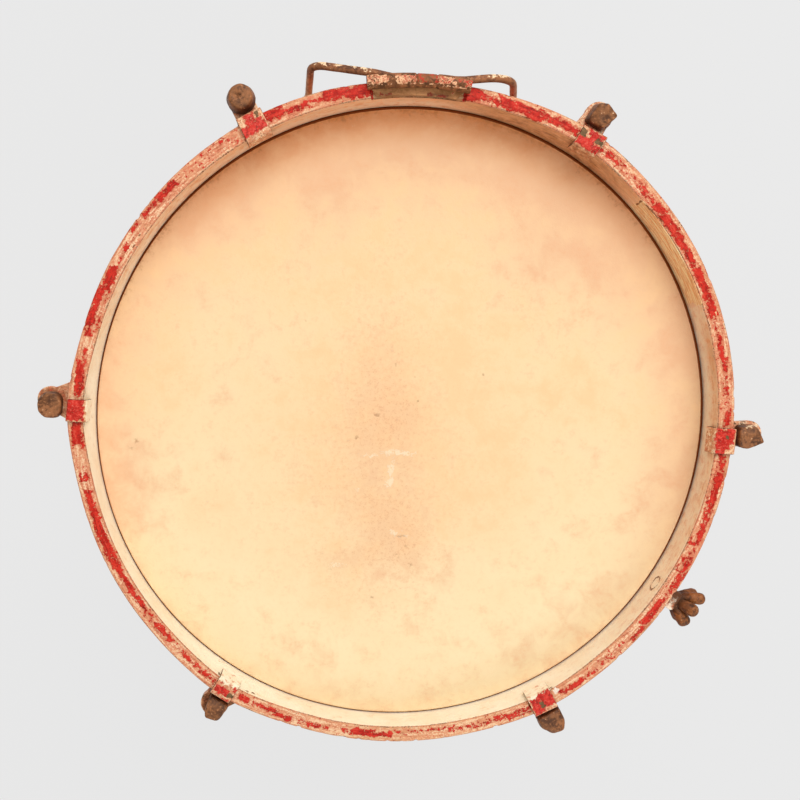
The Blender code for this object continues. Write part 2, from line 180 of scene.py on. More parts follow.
class Look:
    """A procedural material, with short names for the nodes that it is built from."""

    def __init__(self, name, roughness=0.6, specular=0.4):
        self.material = bpy.data.materials.new(name)
        self.material.use_nodes = True
        self.tree = self.material.node_tree
        self.shader = self.tree.nodes["Principled BSDF"]
        self.shader.inputs["Roughness"].default_value = roughness
        self.shader.inputs["Specular IOR Level"].default_value = specular
        self.place = self.node("ShaderNodeTexCoord", output="Object")

    def node(self, kind, inputs=None, output=0, **settings):
        """Add a node, link or set its inputs, and give one of its outputs."""
        made = self.tree.nodes.new(kind)
        for key, value in settings.items():
            setattr(made, key, value)
        for key, value in (inputs or {}).items():
            if isinstance(value, Value):
                self.tree.links.new(value.socket, made.inputs[key])
            else:
                made.inputs[key].default_value = value
        return Value(self, made.outputs[output])

    def level(self, name):
        """A level that the mesh carries."""
        return self.node("ShaderNodeAttribute", output="Fac", attribute_name=name)

    def vector(self, name):
        return self.node("ShaderNodeAttribute", output="Vector", attribute_name=name)

    def noise(self, scale, detail=2.0, rough=0.5, warp=0.0, at=None):
        inputs = {"Vector": at or self.place, "Scale": scale, "Detail": detail}
        inputs |= {"Roughness": rough, "Distortion": warp}
        return self.node("ShaderNodeTexNoise", inputs)

    def from_crack(self, scale):
        """How far each point is from the nearest line of a net of cracks."""
        inputs = {"Vector": self.place, "Scale": scale, "Randomness": 1.0}
        return self.node("ShaderNodeTexVoronoi", inputs, output="Distance", feature="DISTANCE_TO_EDGE")

    def mix(self, share, first, second):
        """The first colour where share is 0 and the second where it is 1."""
        first, second = (c if isinstance(c, Value) else tone(*c) for c in (first, second))
        return self.node("ShaderNodeMix", {0: share, 6: first, 7: second}, output=2, data_type="RGBA")

    def layers(self, base, *covers):
        """A colour with others laid over it in turn, each given as (how much, colour)."""
        for share, cover in covers:
            base = self.mix(share, base, cover)
        return base

    def finish(self, colour, roughness=None, height=None, depth=0.2):
        """Link the results to the shader. `depth` is the relief's full height in millimetres."""
        inputs = {"Base Color": colour, "Roughness": roughness}
        if height is not None:
            relief = {"Height": height, "Distance": depth * MM, "Strength": 1.0}
            inputs["Normal"] = self.node("ShaderNodeBump", relief)
        for key, value in inputs.items():
            if value is not None:
                self.tree.links.new(value.socket, self.shader.inputs[key])
        return self.material


def rim_look():
    """Red paint worn through to a pinkish ground, and in places to the wood.

    Levels on the mesh: red and bare say how much paint and bare wood there is, pale how clean the cream
    ground is (paler by the skin partly as painted light), brown how stained it is, grime_and_shade how dark
    the edges, cracks and joint are, white marks filler, and inside marks the inner face.
    the inner face.
    """
    look = Look("worn_rim_paint", specular=0.16)
    speck = look.noise(1000, 2, 0.6)
    fine = look.noise(560, 3, 0.6)
    medium = look.noise(220, 3, 0.55, 0.4)
    broad = look.noise(55, 3, 0.6)
    streak = look.noise(800, 3, 0.6, at=look.vector("strip"))
    grit = speck * 0.4 + streak * 0.6
    left, inside, brown = look.level("red"), look.level("inside"), look.level("brown")
    red = (left + fine.sway(1.1) + speck.sway(0.8) + medium.sway(0.7) + inside * -0.5).step(0.45, 0.55)
    ghost = (left + fine.sway(1.0) + broad.sway(0.9)).step(0.05, 0.5)
    pale = (look.level("pale") + medium.sway(0.4) + speck.sway(0.15)).step(0.0, 0.95)
    stain = (brown + medium.sway(0.6) + streak.sway(0.5)).step(0.05, 1.0)
    bare = (look.level("bare") + medium.sway(0.9) + speck.sway(0.6)).step(0.42, 0.58)
    dirt = (look.level("grime_and_shade") + speck.sway(0.6) + streak.sway(0.5)).step(0.3, 0.75)
    filler = (look.level("white") + speck.sway(0.8)).step(0.4, 0.6)
    warm = grit.blend(0.44, 0.56, (236, 168, 122), (252, 212, 166))
    worn = look.layers(
        grit.blend(0.49, 0.57, (222, 140, 104), (248, 206, 164)),
        (grit.step(0.46, 0.4) * 0.75, (172, 98, 64)),
        (broad.step(0.42, 0.62) * 0.45, (236, 176, 130)),
        (ghost * 0.6, (214, 96, 66)),
        (inside * 0.9, (streak * 0.6 + medium * 0.4).blend(0.38, 0.6, (238, 166, 116), (260, 212, 166))),
        (pale, look.mix(inside, warm, broad.blend(0.35, 0.65, *CREAMS))),
        (stain, streak.blend(0.35, 0.62, (146, 86, 48), (214, 146, 94))),
    )
    reds = look.layers(
        medium.blend(0.4, 0.6, (182, 28, 14), (214, 48, 32)),
        (grit.step(0.54, 0.6) * 0.45, (232, 100, 74)),
        (grit.step(0.46, 0.38) * 0.8, (124, 28, 14)),
    )
    wood = look.layers(
        streak.blend(0.36, 0.62, (244, 172, 114), (265, 236, 182)),
        (medium.step(0.5, 0.66) * 0.3, (216, 144, 92)),
        (brown * 0.8, (178, 112, 66)),
    )
    surface = look.layers(
        worn, (red, reds), (bare, wood), (dirt * 0.85, (118, 56, 12)), (filler, (250, 232, 210))
    )
    height = red * 0.5 + grit * 0.9 + medium * 0.3 - dirt * 0.3
    return look.finish(surface, red * -0.12 + fine * 0.25 + 0.5, height, 0.4)


def skin_look():
    """Calfskin: clouded cream, pinker toward the rim, orange-brown by the leg rest, scuffed in the middle.

    Levels: pale, blush, tan, scuff, scratch and mark, dirt beside the rim and gap_shade in the gap there.
    Pale is partly painted light by the lit lower side, blush and tan partly painted shade by the hoop's wall,
    and gap_shade is painted shade.
    """
    look = Look("calfskin", specular=0.2)
    broad = look.noise(20, 4, 0.5, 0.3)
    mottle = look.noise(75, 4, 0.62, 0.3)
    fine = look.noise(420, 3, 0.65)
    dots = look.noise(1300, 2, 0.5)
    soft = broad * 0.55 + mottle * 0.45
    tan, scuff = look.level("tan"), look.level("scuff")
    worn = (scuff + fine.sway(0.6) + mottle.sway(0.9)).step(0.0, 1.0)
    pale = (look.level("scratch") + dots.sway(0.8) + fine.sway(0.9)).step(0.45, 0.9)
    surface = look.layers(
        # Pale, blush and tan carry painted light and shade by the rim as well as the skin's tint: paler by
        # the lit lower side, darker and orange-brown toward the top and sides beside the hoop's wall.
        (look.level("pale") + soft.sway(1.4)).blend(0.0, 1.0, (250, 208, 157), (252, 227, 181)),
        (mottle.step(0.36, 0.66) * 0.5, (249, 218, 168)),
        ((look.level("blush") + soft.sway(1.3)).step(0.0, 1.0), (239, 190, 147)),
        ((tan + tan * mottle.sway(0.5)).step(0.0, 1.0), (216, 134, 68)),
        (fine.step(0.48, 0.72) * 0.1, (240, 184, 132)),
        (worn * 0.34, (238, 168, 124)),
        ((scuff * 0.14 + dots * 0.6 + fine * 0.4).step(0.64, 0.74) * 0.25, (206, 134, 96)),
        (pale * 0.6, (255, 236, 202)),
        ((look.level("mark") + fine.sway(0.8)).step(0.3, 0.9) * 0.5, (156, 104, 68)),
        ((look.level("dirt") + fine.sway(0.7) + mottle.sway(0.4)).step(0.42, 1.0) * 0.5, (140, 92, 50)),
        # Painted shade: dark brown in the gap beside the rim.
        ((look.level("gap_shade") + fine.sway(0.3)).step(0.3, 0.7), (124, 58, 8)),
    )
    height = fine * 0.6 + dots * 0.35 + worn * 0.3 + pale * 0.5
    return look.finish(surface, fine * 0.25 + 0.45, height, 0.16)


def claw_look():
    """Steel painted red over cream, with bare olive-brown spots.

    Levels: red, bare, pale for clean cream, brown for stained paint, grime_and_shade for dirt and for
    painted shade along the straps' edges and by the rods, and inside for the tab.
    """
    look = Look("worn_claw_paint", specular=0.2)
    speck = look.noise(1000, 2, 0.6)
    fine = look.noise(560, 3, 0.6)
    medium = look.noise(260, 3, 0.55, 0.4)
    left = look.level("red")
    red = (left + fine.sway(0.9) + speck.sway(0.8) + medium.sway(0.5)).step(0.45, 0.55)
    bare = (look.level("bare") + fine.sway(0.8) + medium.sway(0.6)).step(0.42, 0.6)
    pale = (look.level("pale") + fine.sway(0.5)).step(0.3, 0.7)
    stain = (look.level("brown") + medium.sway(0.9) + fine.sway(0.5)).step(0.15, 0.85)
    ghost = (left + fine.sway(1.0) + medium.sway(0.9)).step(0.05, 0.5)
    # grime_and_shade brings dirt and painted shade: dark lines along the straps' edges, and dark between rod
    # heads and straps.
    dirt = (look.level("grime_and_shade") + speck.sway(0.6) + fine.sway(0.4)).step(0.3, 0.75)
    creams = (medium.blend(0.35, 0.65, *PLATE_CREAMS), medium.blend(0.35, 0.65, *CREAMS))
    ground = look.layers(
        fine.blend(0.42, 0.58, (222, 146, 104), (250, 208, 164)),
        (speck.step(0.44, 0.38) * 0.7, (160, 92, 58)),
        (pale, look.mix(look.level("inside"), *creams)),
        (stain, fine.blend(0.4, 0.6, (140, 84, 48), (196, 130, 84))),
        (ghost * 0.5, (214, 96, 66)),
    )
    reds = look.layers(
        medium.blend(0.38, 0.6, (186, 26, 14), (216, 50, 36)),
        (fine.step(0.52, 0.64) * 0.5, (236, 104, 84)),
        (fine.step(0.46, 0.36) * 0.75, (136, 34, 18)),
        (speck.step(0.6, 0.68) * 0.4, (246, 142, 118)),
    )
    steel = medium.blend(0.35, 0.65, (90, 68, 40), (132, 98, 64))
    surface = look.layers(ground, (red, reds), (bare, steel), (dirt * 0.85, (80, 44, 22)))
    height = red * 0.5 + fine * 0.6 + speck * 0.3 + bare * -0.4
    return look.finish(surface, bare * 0.15 + fine * 0.2 + 0.36, height, 0.4)


def rust_look(name, dark, mid, warm):
    """Old rust: brown with darker pits and orange bloom. Levels: cream; rubbed_and_lit, a lighter tone that
    on the wire's legs is painted light; grime_and_shade, dirt and painted shade.
    """
    look = Look(name, specular=0.25)
    fine = look.noise(620, 3, 0.55)
    medium = look.noise(190, 3, 0.6, 0.5)
    broad = look.noise(80, 2)
    surface = look.layers(
        medium.blend(0.34, 0.62, dark, mid),
        ((broad + fine.sway(0.4)).step(0.46, 0.66) * 0.75, warm),
        (fine.step(0.54, 0.7) * 0.35, (186, 124, 80)),
        (fine.step(0.44, 0.32) * 0.35, (66, 34, 16)),
        # Painted light: the lighter tone given on the wire's legs.
        (look.level("rubbed_and_lit") * 0.75, medium.blend(0.4, 0.6, (206, 150, 92), (244, 196, 136))),
        ((look.level("cream") + fine.sway(1.2)).step(0.45, 0.6), (250, 214, 170)),
        # Dark where grime_and_shade is set; on the rod heads and the thumbscrew this is painted shade.
        (look.level("grime_and_shade"), (40, 21, 9)),
    )
    return look.finish(surface, fine * 0.35 + 0.36, fine * 0.6 + medium * 0.6, 0.35)


def bracket_look():
    """Cream and red paint flaking off brown sheet iron. Levels: red, cream, grime_and_shade, and leaf for the
    leaf.
    """
    look = Look("flaking_bracket_paint", specular=0.2)
    speck = look.noise(1000, 2, 0.6)
    fine = look.noise(620, 3, 0.6)
    medium = look.noise(300, 3, 0.6, 0.5)
    shake = speck.sway(0.8) + fine.sway(0.9) + medium.sway(0.5)
    cream = fine.blend(0.42, 0.58, (204, 118, 84), (244, 190, 144))
    surface = look.layers(
        medium.blend(0.35, 0.65, (96, 56, 28), (160, 100, 60)),
        (fine.step(0.55, 0.66) * 0.5, (196, 134, 88)),
        (look.level("leaf") * 0.9, medium.blend(0.35, 0.65, (176, 118, 70), (214, 152, 98))),
        ((look.level("cream") + shake).step(0.44, 0.56), cream),
        ((look.level("red") + shake).step(0.44, 0.56), (190, 62, 40)),
        (look.level("grime_and_shade") * 0.9, (66, 38, 18)),
    )
    return look.finish(surface, fine * 0.3 + 0.4, fine * 0.6 + medium * 0.5, 0.35)


def shell_look():
    """Old cream oil paint on a bent wooden shell, crazed, rubbed and stained. Levels: bare and
    grime_and_shade.
    """
    look = Look("old_cream_paint", specular=0.4)
    fine = look.noise(700, 3, 0.6)
    medium = look.noise(120, 4, 0.6, 0.5)
    broad = look.noise(16, 3, 0.55)
    grain = look.noise(300, 4, 0.6, 0.2, at=look.vector("strip"))
    craze = look.from_crack(260).step(0.05, 0.0)
    rubbed_and_lit = (look.level("bare") + medium.sway(0.45) + fine.sway(0.15)).step(0.5, 0.6)
    surface = look.layers(
        broad.blend(0.35, 0.65, (222, 188, 144), (198, 156, 112)),
        (grain.step(0.45, 0.7) * 0.35, (166, 120, 80)),
        (craze * 0.4, (120, 80, 50)),
        (rubbed_and_lit, grain.blend(0.35, 0.65, (118, 76, 46), (176, 124, 82))),
        (look.level("grime_and_shade"), (84, 56, 34)),
    )
    height = grain * 0.3 + craze * -0.3 + rubbed_and_lit * -0.4 + fine * 0.15
    return look.finish(surface, fine * 0.2 + rubbed_and_lit * 0.2 + 0.4, height, 0.3)


def wood_look():
    """Bare dusty wood, for what the skins hide."""
    look = Look("bare_wood")
    grain = look.noise(300, 4, 0.6, 0.4)
    return look.finish(grain.blend(0.3, 0.7, (112, 74, 44), (170, 122, 80)), height=grain, depth=0.2)


def out_of_round(degrees):
    """How far the hoops, shell and skins stand out from a true circle, in millimetres."""
    return 0.95 * np.cos(np.radians(2 * (degrees - 54))) + 0.37 * np.cos(np.radians(degrees + 42))


def lean(degrees, across=0.0):
    """How much further out the upper rim stands at a claw, and its outer side in at the leg rest."""
    middle, amount, width = DENT
    outward = np.clip(across / (OUTER - INNER), 0, 1)
    total = amount * np.exp(-((turn_to(degrees, middle) / width) ** 2)) * outward
    for middle, amount, width in LEANS:
        total = total + amount * np.exp(-((turn_to(degrees, middle) / width) ** 2))
    return total


def mesh_piece(
    name, points, faces, look, node, levels, body="drum", level=RIM, flip=False, sharp=40, oval=False
):
    """Make a piece from points in millimetres about the drum's axis and a height from `level`.

    The drum has gone a little out of round, which `oval` gives to a piece.
    """
    points = np.array(points, float)
    if oval:
        reach = np.hypot(points[:, 0], points[:, 1])
        swell = out_of_round(np.degrees(np.arctan2(points[:, 1], points[:, 0])))
        points[:, :2] *= (1 + swell * smooth(60, 170, reach) / np.maximum(reach, 1))[:, None]
    points[:, 2] *= -1 if flip else 1
    world = points * MM + [*AXIS, level]
    mesh = bpy.data.meshes.new(name)
    mesh.from_pydata(world.tolist(), [], [list(map(int, face)) for face in faces])
    for key, values in levels.items():
        vector = np.ndim(values) == 2
        made = mesh.attributes.new(key, "FLOAT_VECTOR" if vector else "FLOAT", "POINT")
        made.data.foreach_set("vector" if vector else "value", np.asarray(values, float).ravel())
    bm = bmesh.new()
    bm.from_mesh(mesh)
    bmesh.ops.remove_doubles(bm, verts=bm.verts, dist=0.002 * MM)
    bmesh.ops.recalc_face_normals(bm, faces=bm.faces)
    bm.to_mesh(mesh)
    bm.free()
    mesh.shade_smooth()
    mesh.set_sharp_from_angle(angle=math.radians(sharp))
    mesh.materials.append(look)
    piece = bpy.data.objects.new(name, mesh)
    bpy.context.scene.collection.objects.link(piece)
    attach(piece, body)
    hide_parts(node)
    return piece


def grid_faces(rows, columns, close_rows=False, close_columns=False):
    """Quads of a grid of rows x columns points, numbered row by row."""
    last_row, last_column = rows - (not close_rows), columns - (not close_columns)
    i, j = np.meshgrid(np.arange(last_row), np.arange(last_column), indexing="ij")
    i, j = i.ravel(), j.ravel()
    after, beside = (i + 1) % rows, (j + 1) % columns
    return np.stack([i * columns + j, after * columns + j, after * columns + beside, i * columns + beside], 1)


def ring_faces(rings, count):
    """Quads between closed rings, with a face over each end."""
    faces = grid_faces(rings, count, close_columns=True).tolist()
    return faces + [list(range(count)), list(range((rings - 1) * count, rings * count))]


def turned(profile, count):
    """Grids of degrees, radius and height for a (radius, height) profile turned round the drum."""
    profile = np.array(profile)
    degrees = np.repeat(np.arange(count)[:, None] * 360 / count, len(profile), axis=1)
    return degrees, np.tile(profile[:, 0], (count, 1)), np.tile(profile[:, 1], (count, 1))


def turned_piece(name, grids, look, node, levels, run=None, closed=True, **settings):
    """Make a piece from grids of degrees, radius and height, with grain along it if it has a `run`."""
    degrees, radius, height = grids
    turn = np.radians(degrees)
    points = np.stack([radius * np.cos(turn), radius * np.sin(turn), height], -1).reshape(-1, 3)
    levels = {key: (values + 0 * radius).ravel() for key, values in levels.items()}
    if run is not None:
        grain_reach = OUTER * MM / 9
        strip = [grain_reach * np.cos(turn), grain_reach * np.sin(turn), run * MM + 0 * turn]
        levels["strip"] = np.stack(strip, -1).reshape(-1, 3)
    faces = grid_faces(*radius.shape, close_rows=True, close_columns=closed)
    return mesh_piece(name, points, faces, look, node, levels, oval=True, **settings)


def patched(patches, along, across, ragged, scale=1.0, soft=1.3):
    """How much is left, 0 to 1, from patches given as (start, end, low, high, how whole)."""
    level = np.zeros_like(along)
    for start, end, low, high, whole in patches:
        beyond = np.abs(turn_to(along, (start + end) / 2)) - (end - start) / 2
        outside = np.maximum(low - across, across - high)
        gap = np.maximum(beyond * scale, outside) + ragged
        level = np.maximum(level, whole * (1 - smooth(-soft, soft, gap)))
    return level


def spots(marks, along, across):
    """How marked, 0 to 1, from oval marks given as (degrees, across, half length, half width)."""
    level = np.zeros(np.broadcast(along, across).shape)
    for degrees, middle, length, width in marks:
        away = np.hypot(turn_to(along, degrees) * PER_DEGREE / length, (across - middle) / width)
        level = np.maximum(level, 1 - smooth(0.6, 1.3, away))
    return level


# The paint on the upper hoop's inner face, round from the claw at 0: (degrees, how clean the cream
# is and how brown it is under the rim, and the same by the skin). The cream is mostly paler by the skin
# than under the rim, which is partly painted light where that face is in shade near the skin.
INNER_PAINT = [
    (-45, 0.8, 0, 0.8, 0), (-30, 0.5, 0, 0.55, 0), (-15, 0.45, 0, 0.5, 0), (0, 0.35, 0, 0.6, 0),
    (8, 0.3, 0.15, 0.6, 0), (15, 0.2, 0.35, 0.55, 0), (22, 0.4, 0.1, 0.55, 0), (28, 0.5, 0, 0.4, 0),
    (40, 0.4, 0, 0.3, 0), (45, 0.1, 0.2, 0.2, 0.1), (50, 0, 0.5, 0, 0.5), (56, 0, 0.6, 0, 0.75),
    (66, 0, 0.6, 0, 0.75), (76, 0, 0.65, 0.05, 0.65), (88, 0.1, 0.4, 0.3, 0.1),
    (98, 0.15, 0.2, 0.25, 0.15), (108, 0.2, 0.25, 0.3, 0.15), (118, 0.15, 0.3, 0.3, 0.15),
    (132, 0.2, 0.1, 0.3, 0), (146, 0.3, 0, 0.45, 0), (160, 0.5, 0, 0.65, 0), (170, 0.75, 0, 0.8, 0),
    (180, 0.85, 0, 0.9, 0), (200, 1, 0, 1, 0), (300, 0.95, 0, 0.95, 0), (315, 0.8, 0, 0.8, 0),
]


def inner_paint(degrees, height=0.0):
    """How clean and how brown the inner face is at an angle and a height below the rim."""
    stops = np.array(INNER_PAINT)
    at = (degrees + 45) % 360 - 45
    # Toward the skin the lower, mostly paler columns take over: partly painted light against the shade there.
    low = smooth(-5, -14, height)
    pale, brown, low_pale, low_brown = (np.interp(at, stops[:, 0], stops[:, k]) for k in (1, 2, 3, 4))
    return pale + (low_pale - pale) * low, brown + (low_brown - brown) * low


# Dark cracks and chips on the upper hoop and one pale plug, as (degrees, millimetres out from the
# inner edge, half length, half width); a negative distance is down the inner face
CRACKS = [
    (114.4, 2.8, 0.3, 2.6), (145.6, 1.6, 0.7, 0.5), (147.2, 2, 0.8, 0.5), (149.4, 1.5, 1, 0.5),
    (150.4, 2.4, 0.5, 0.4), (177.7, 1.4, 1.5, 0.5), (176.9, -2, 2.4, 0.6), (182.4, 1.2, 1.6, 0.5),
    (183, -2.6, 2.2, 0.6), (182, -4.4, 0.6, 2), (237.6, 0.6, 1.4, 0.7), (237.2, -3, 0.8, 2.4),
    (240.6, -6.2, 1.4, 1.1), (242.4, -1.2, 1.6, 0.9), (243.4, -2.4, 1.6, 0.9), (244.6, -3.6, 1.8, 0.7),
    (297.9, 0.8, 0.8, 1.2), (297.7, 5, 0.5, 2.2), (298.6, -1.6, 1, 0.8), (300.4, -4.6, 1.3, 0.9),
    (302.6, -2, 1.3, 0.8), (302.8, 1, 0.6, 1.4), (41.6, 2.8, 2.2, 0.5), (42.6, 2.3, 2.2, 0.6),
    (43.6, 1.9, 2.2, 0.7), (44.6, 1.3, 2, 0.8), (45.3, 0.8, 1.2, 0.7), (46.2, -3, 0.6, 3.2),
    (46, -9, 0.5, 4),
]
PLUG = [(303.2, 3.6, 2.4, 2.2)]

# The marks on the upper rim are given this much further out than the rim itself
PAINT_AT = 1.15

# Where the red paint is left on the upper rim: start and end in degrees, lower and upper edge in
# millimetres from the rim's inner edge, and how whole it is
RED_LEFT = [
    (-16, -12.4, 3, 8, 0.55), (-12.6, -5.6, 3, 7, 0.95), (-5.6, -2.4, 3.2, 7, 0.7),
    (2.4, 5.4, 4.6, 8, 0.8), (5, 8, 3.5, 8, 0.4), (7.6, 9.6, 4, 7, 0.7), (10.4, 12.4, 5, 7.2, 0.6),
    (12.2, 14.4, 4.2, 7.2, 0.95), (14.6, 18.7, 4, 6.4, 0.95), (18.4, 22.6, 3.4, 6, 0.42),
    (22.2, 31, 3.6, 7.8, 0.9), (31.4, 37, 3.6, 7.6, 0.9), (36.6, 44.2, 3.2, 8, 1),
    (44, 47.6, 3.6, 7.4, 0.6), (47, 52.5, 4.8, 8.4, 0.4), (52, 57.6, 5.8, 8.8, 0.6),
    (62.4, 66, 5.6, 9.2, 0.95), (65.6, 69.6, 4.6, 8.4, 0.75), (69, 76.9, 2.6, 7.8, 1),
    (76.6, 80.2, 3.4, 6.6, 0.72), (79.8, 82.8, 1.6, 8.6, 1), (98.4, 103, 1.8, 8.2, 1),
    (102.6, 107.2, 3.2, 8.6, 1), (107, 110.2, 3.6, 6.4, 0.6), (109.8, 113.6, 2.6, 6.4, 0.85),
    (114, 117.6, 3.4, 9.2, 0.9), (123.6, 130.4, 1.8, 7.6, 0.26), (129.5, 133, 2.4, 6, 0.24),
    (136, 140.6, 3.8, 7.4, 1), (140.2, 144.4, 4.8, 7.4, 0.78), (145.6, 147.8, 5.4, 7.8, 0.62),
    (149.6, 153.4, 2.8, 5.2, 0.55), (154.2, 158.4, 2, 7.2, 0.95), (158, 165.6, 4.4, 8.4, 1),
    (159.6, 165, 1.2, 2.6, 0.6), (164.6, 167.1, 4, 7.6, 0.95), (169.3, 171.2, 4, 6.2, 0.7),
    (171.8, 177.8, 3.6, 8.4, 0.95), (182.2, 186.4, 4, 9.2, 1), (184.6, 187.4, 2.8, 5, 0.8),
    (190.8, 193, 6.8, 8.6, 0.65), (191.2, 193.2, 3.6, 6, 0.8), (194.7, 200.8, 3.2, 7.2, 0.98),
    (200.4, 209.6, 2.8, 8, 0.9), (209.2, 215.6, 3.6, 6.8, 1), (215.2, 221, 3.8, 6.2, 0.85),
    (221.8, 226.4, 4, 7, 0.98), (226, 231, 4.2, 6.6, 0.35), (229.8, 234.4, 5.6, 8.2, 0.66),
    (233.8, 237.6, 6.4, 9.2, 0.78), (242.4, 244.6, 6.4, 9.4, 0.95), (245.2, 250, 5.8, 8, 0.85),
    (249.6, 252.9, 6.4, 9.4, 0.95), (252.5, 256, 4.4, 8.8, 0.3), (255.8, 258.2, 5.6, 8.2, 0.72),
    (258.8, 259.9, 5.6, 8.4, 0.6), (262.4, 264, 4.8, 7.6, 0.5), (263.8, 267.9, 4.2, 7.6, 0.98),
    (267.7, 271.6, 4.6, 7.4, 0.92), (271.2, 276, 3.4, 6.4, 0.3), (275.2, 282.2, 3.6, 5, 0.6),
    (281.8, 287.2, 3.8, 6.4, 0.55), (286.8, 293, 4.6, 7.6, 0.6), (292.6, 298, 4.4, 8.8, 0.68),
    (303.6, 308.2, 5, 8.6, 0.9), (307.8, 312, 5, 8, 0.42), (312, 319.6, 3, 8, 0.28),
    (319.6, 323.4, 5.2, 7.6, 0.8), (323, 328.7, 3.4, 7.2, 0.92), (328.4, 332.2, 4.6, 7.6, 0.5),
    (331.6, 338.4, 4.6, 8.2, 0.82), (334.8, 337.6, 1.4, 3.2, 0.7), (338, 340.8, 4, 7.4, 0.42),
    (340.4, 344.2, 4, 7.2, 0.92), (340, 342, 1.4, 2.6, 0.65),
]


def hoop_profile(step):
    """A hoop's section as (radius, height), from the inner face over the rim and down the outside."""
    inside, outside = 0.7, 1.3
    bend = np.radians(np.arange(0, 91, 18))
    points = [(INNER, z) for z in np.arange(-HOOP_HEIGHT, -HEAD_DROP - 2, 3.5)]
    points += [(INNER, z) for z in np.arange(-HEAD_DROP - 1, -inside - 0.3, 1.05 * step)]
    points += [(INNER + inside * (1 - math.cos(a)), -inside * (1 - math.sin(a))) for a in bend]
    points += [(r, 0.0) for r in np.arange(INNER + inside + 0.7 * step, OUTER - outside - 0.2, 0.7 * step)]
    points += [(OUTER - outside * (1 - math.sin(a)), -outside * (1 - math.cos(a))) for a in bend]
    points += [(OUTER, z) for z in np.arange(-outside - 2 * step, -HOOP_HEIGHT, -3.6 * step)]
    points += [(r, -HOOP_HEIGHT) for r in np.arange(OUTER, INNER + 1, -4.0)]
    return np.array(points)


def build_hoop(name, look, level, flip, count, step):
    """A tall painted hoop. Only the upper one, which isn't flipped, has its own marks."""
    profile = hoop_profile(step)
    run = np.concatenate([[0], np.cumsum(np.hypot(*np.diff(profile, axis=0).T))])
    degrees, radius, height = turned(profile, count)
    way = run + 0 * radius
    seed = 3 if flip else 1
    on_top = smooth(-1.4, -0.2, height) * (radius < OUTER - 0.1)
    outer_side = (radius > OUTER - 0.6) & (height < -0.6)
    inner_side = (radius < INNER + 0.3) & (height < -0.4)
    wave = round_noise(degrees, 40, way / 60, seed) + 0.5 * round_noise(degrees, 150, way / 9, seed + 5)
    chips = smooth(0.35, 0.9, round_noise(degrees, 420, way / 2.2, seed + 7) + 0.3 * wave)
    edge = np.exp(-((radius - OUTER) ** 2 + (height + 0.4) ** 2) / 1.2)
    inner_line = np.exp(-((radius - INNER - 0.45) ** 2 + (height + 0.3) ** 2) / 0.35)
    across = np.where(radius > INNER + 0.3, radius - INNER, height)
    ragged = 0.8 * round_noise(degrees, 500, across / 1.4, seed + 11)
    if flip:
        red = (0.5 + 0.4 * round_noise(degrees, 60, across / 4, seed + 13)) * on_top
        pale, brown = inner_paint(degrees + STAINS_TURNED, height)
    else:
        moved = out_of_round(degrees) + lean(degrees, across) - SHRUNK
        across = across + (moved + PAINT_AT) * on_top
        red = patched(RED_LEFT, degrees, across, ragged, scale=PER_DEGREE) * on_top
        pale, brown = inner_paint(degrees, height)
    side_red = 0.66 + 0.3 * round_noise(degrees, 50, way / 14, seed + 17)
    side_red += 0.22 * round_noise(degrees, 200, way / 4, seed + 19)
    side_red -= 0.35 * smooth(-5, -1, height) + 0.3 * smooth(-HOOP_HEIGHT + 4, -HOOP_HEIGHT, height)
    levels = {
        "red": np.where(outer_side, side_red, red),
        "bare": 0.1 * edge,
        "grime_and_shade": 0.5 * edge * on_top + 0.62 * inner_line * (inner_side | (on_top > 0.5)),
        "pale": pale * inner_side + on_top * (0.1 + 0.42 * np.exp(-((turn_to(degrees, 278) / 42) ** 2))),
        "brown": brown * inner_side + on_top * 0.35 * np.exp(-((turn_to(degrees, 270) / 7) ** 2)),
        "inside": 1.0 * inner_side,
        "white": 0 * way,
    }
    if not flip:
        height = rim_marks(degrees, across, height, inner_side, on_top, levels)
    height = height - (0.25 + 0.25 * wave) * on_top - 0.5 * chips * edge
    height -= 0.15 * (1 - smooth(0.4, 0.6, levels["red"])) * on_top
    radius = radius - (0.2 + 0.2 * wave) * outer_side - 0.6 * chips * edge - SHRUNK
    if not flip:
        radius = radius + lean(degrees, radius + SHRUNK - INNER) * smooth(-20, -1, height)
    grids = (degrees, radius, height)
    return turned_piece(name + "_wood", grids, look, name, levels, run, level=level, flip=flip, sharp=50)


def rim_marks(degrees, across, height, inner_side, on_top, levels):
    """What is seen only on the upper hoop: the notch, the lap joint, and its cracks and chips."""
    aside = np.abs(turn_to(degrees, REST_DEGREES)) * math.pi / 180 * OUTER
    notch = (aside < 27.2) & (height > -2.6)
    height = np.where(notch, -2.6, height)
    under_leaf = notch & (aside < 25.5)
    levels["bare"] = np.where(under_leaf, 0.9, levels["bare"])
    levels["red"] = np.where(under_leaf, 0.1, np.where(notch, 0.9, levels["red"]))
    levels["brown"] = np.where(under_leaf, 0.8, levels["brown"])
    in_lap = smooth(23.5, 26, degrees) * (1 - smooth(45.8, 46.6, degrees))
    ply = in_lap * ((across < 1.9) & (inner_side | (on_top > 0)))
    levels["bare"] = np.maximum(levels["bare"], 0.95 * ply)
    seam = np.exp(-((across - 2.0) ** 2) / 0.12) * smooth(22, 27, degrees) * (1 - smooth(41, 42, degrees))
    cracks = spots(CRACKS, degrees, across)
    oval = np.hypot(turn_to(degrees, SCREW_DEGREES + 0.7) * PER_DEGREE / 4.4, (across + 9.5) / 3.6)
    broken = 0.9 + 0.25 * round_noise(degrees, 700, across / 1.6, 9)
    ring = np.exp(-(((oval - 1) * 4.4) ** 2)) * 0.85 * broken * inner_side
    grime_and_shade = np.where(ply > 0.5, 0.0, levels["grime_and_shade"])
    levels["grime_and_shade"] = np.max([grime_and_shade, 0.8 * seam, 0.95 * cracks, ring], axis=0)
    levels["white"] = 0.62 * spots(PLUG, degrees, across) * on_top
    return height - 0.5 * cracks * on_top


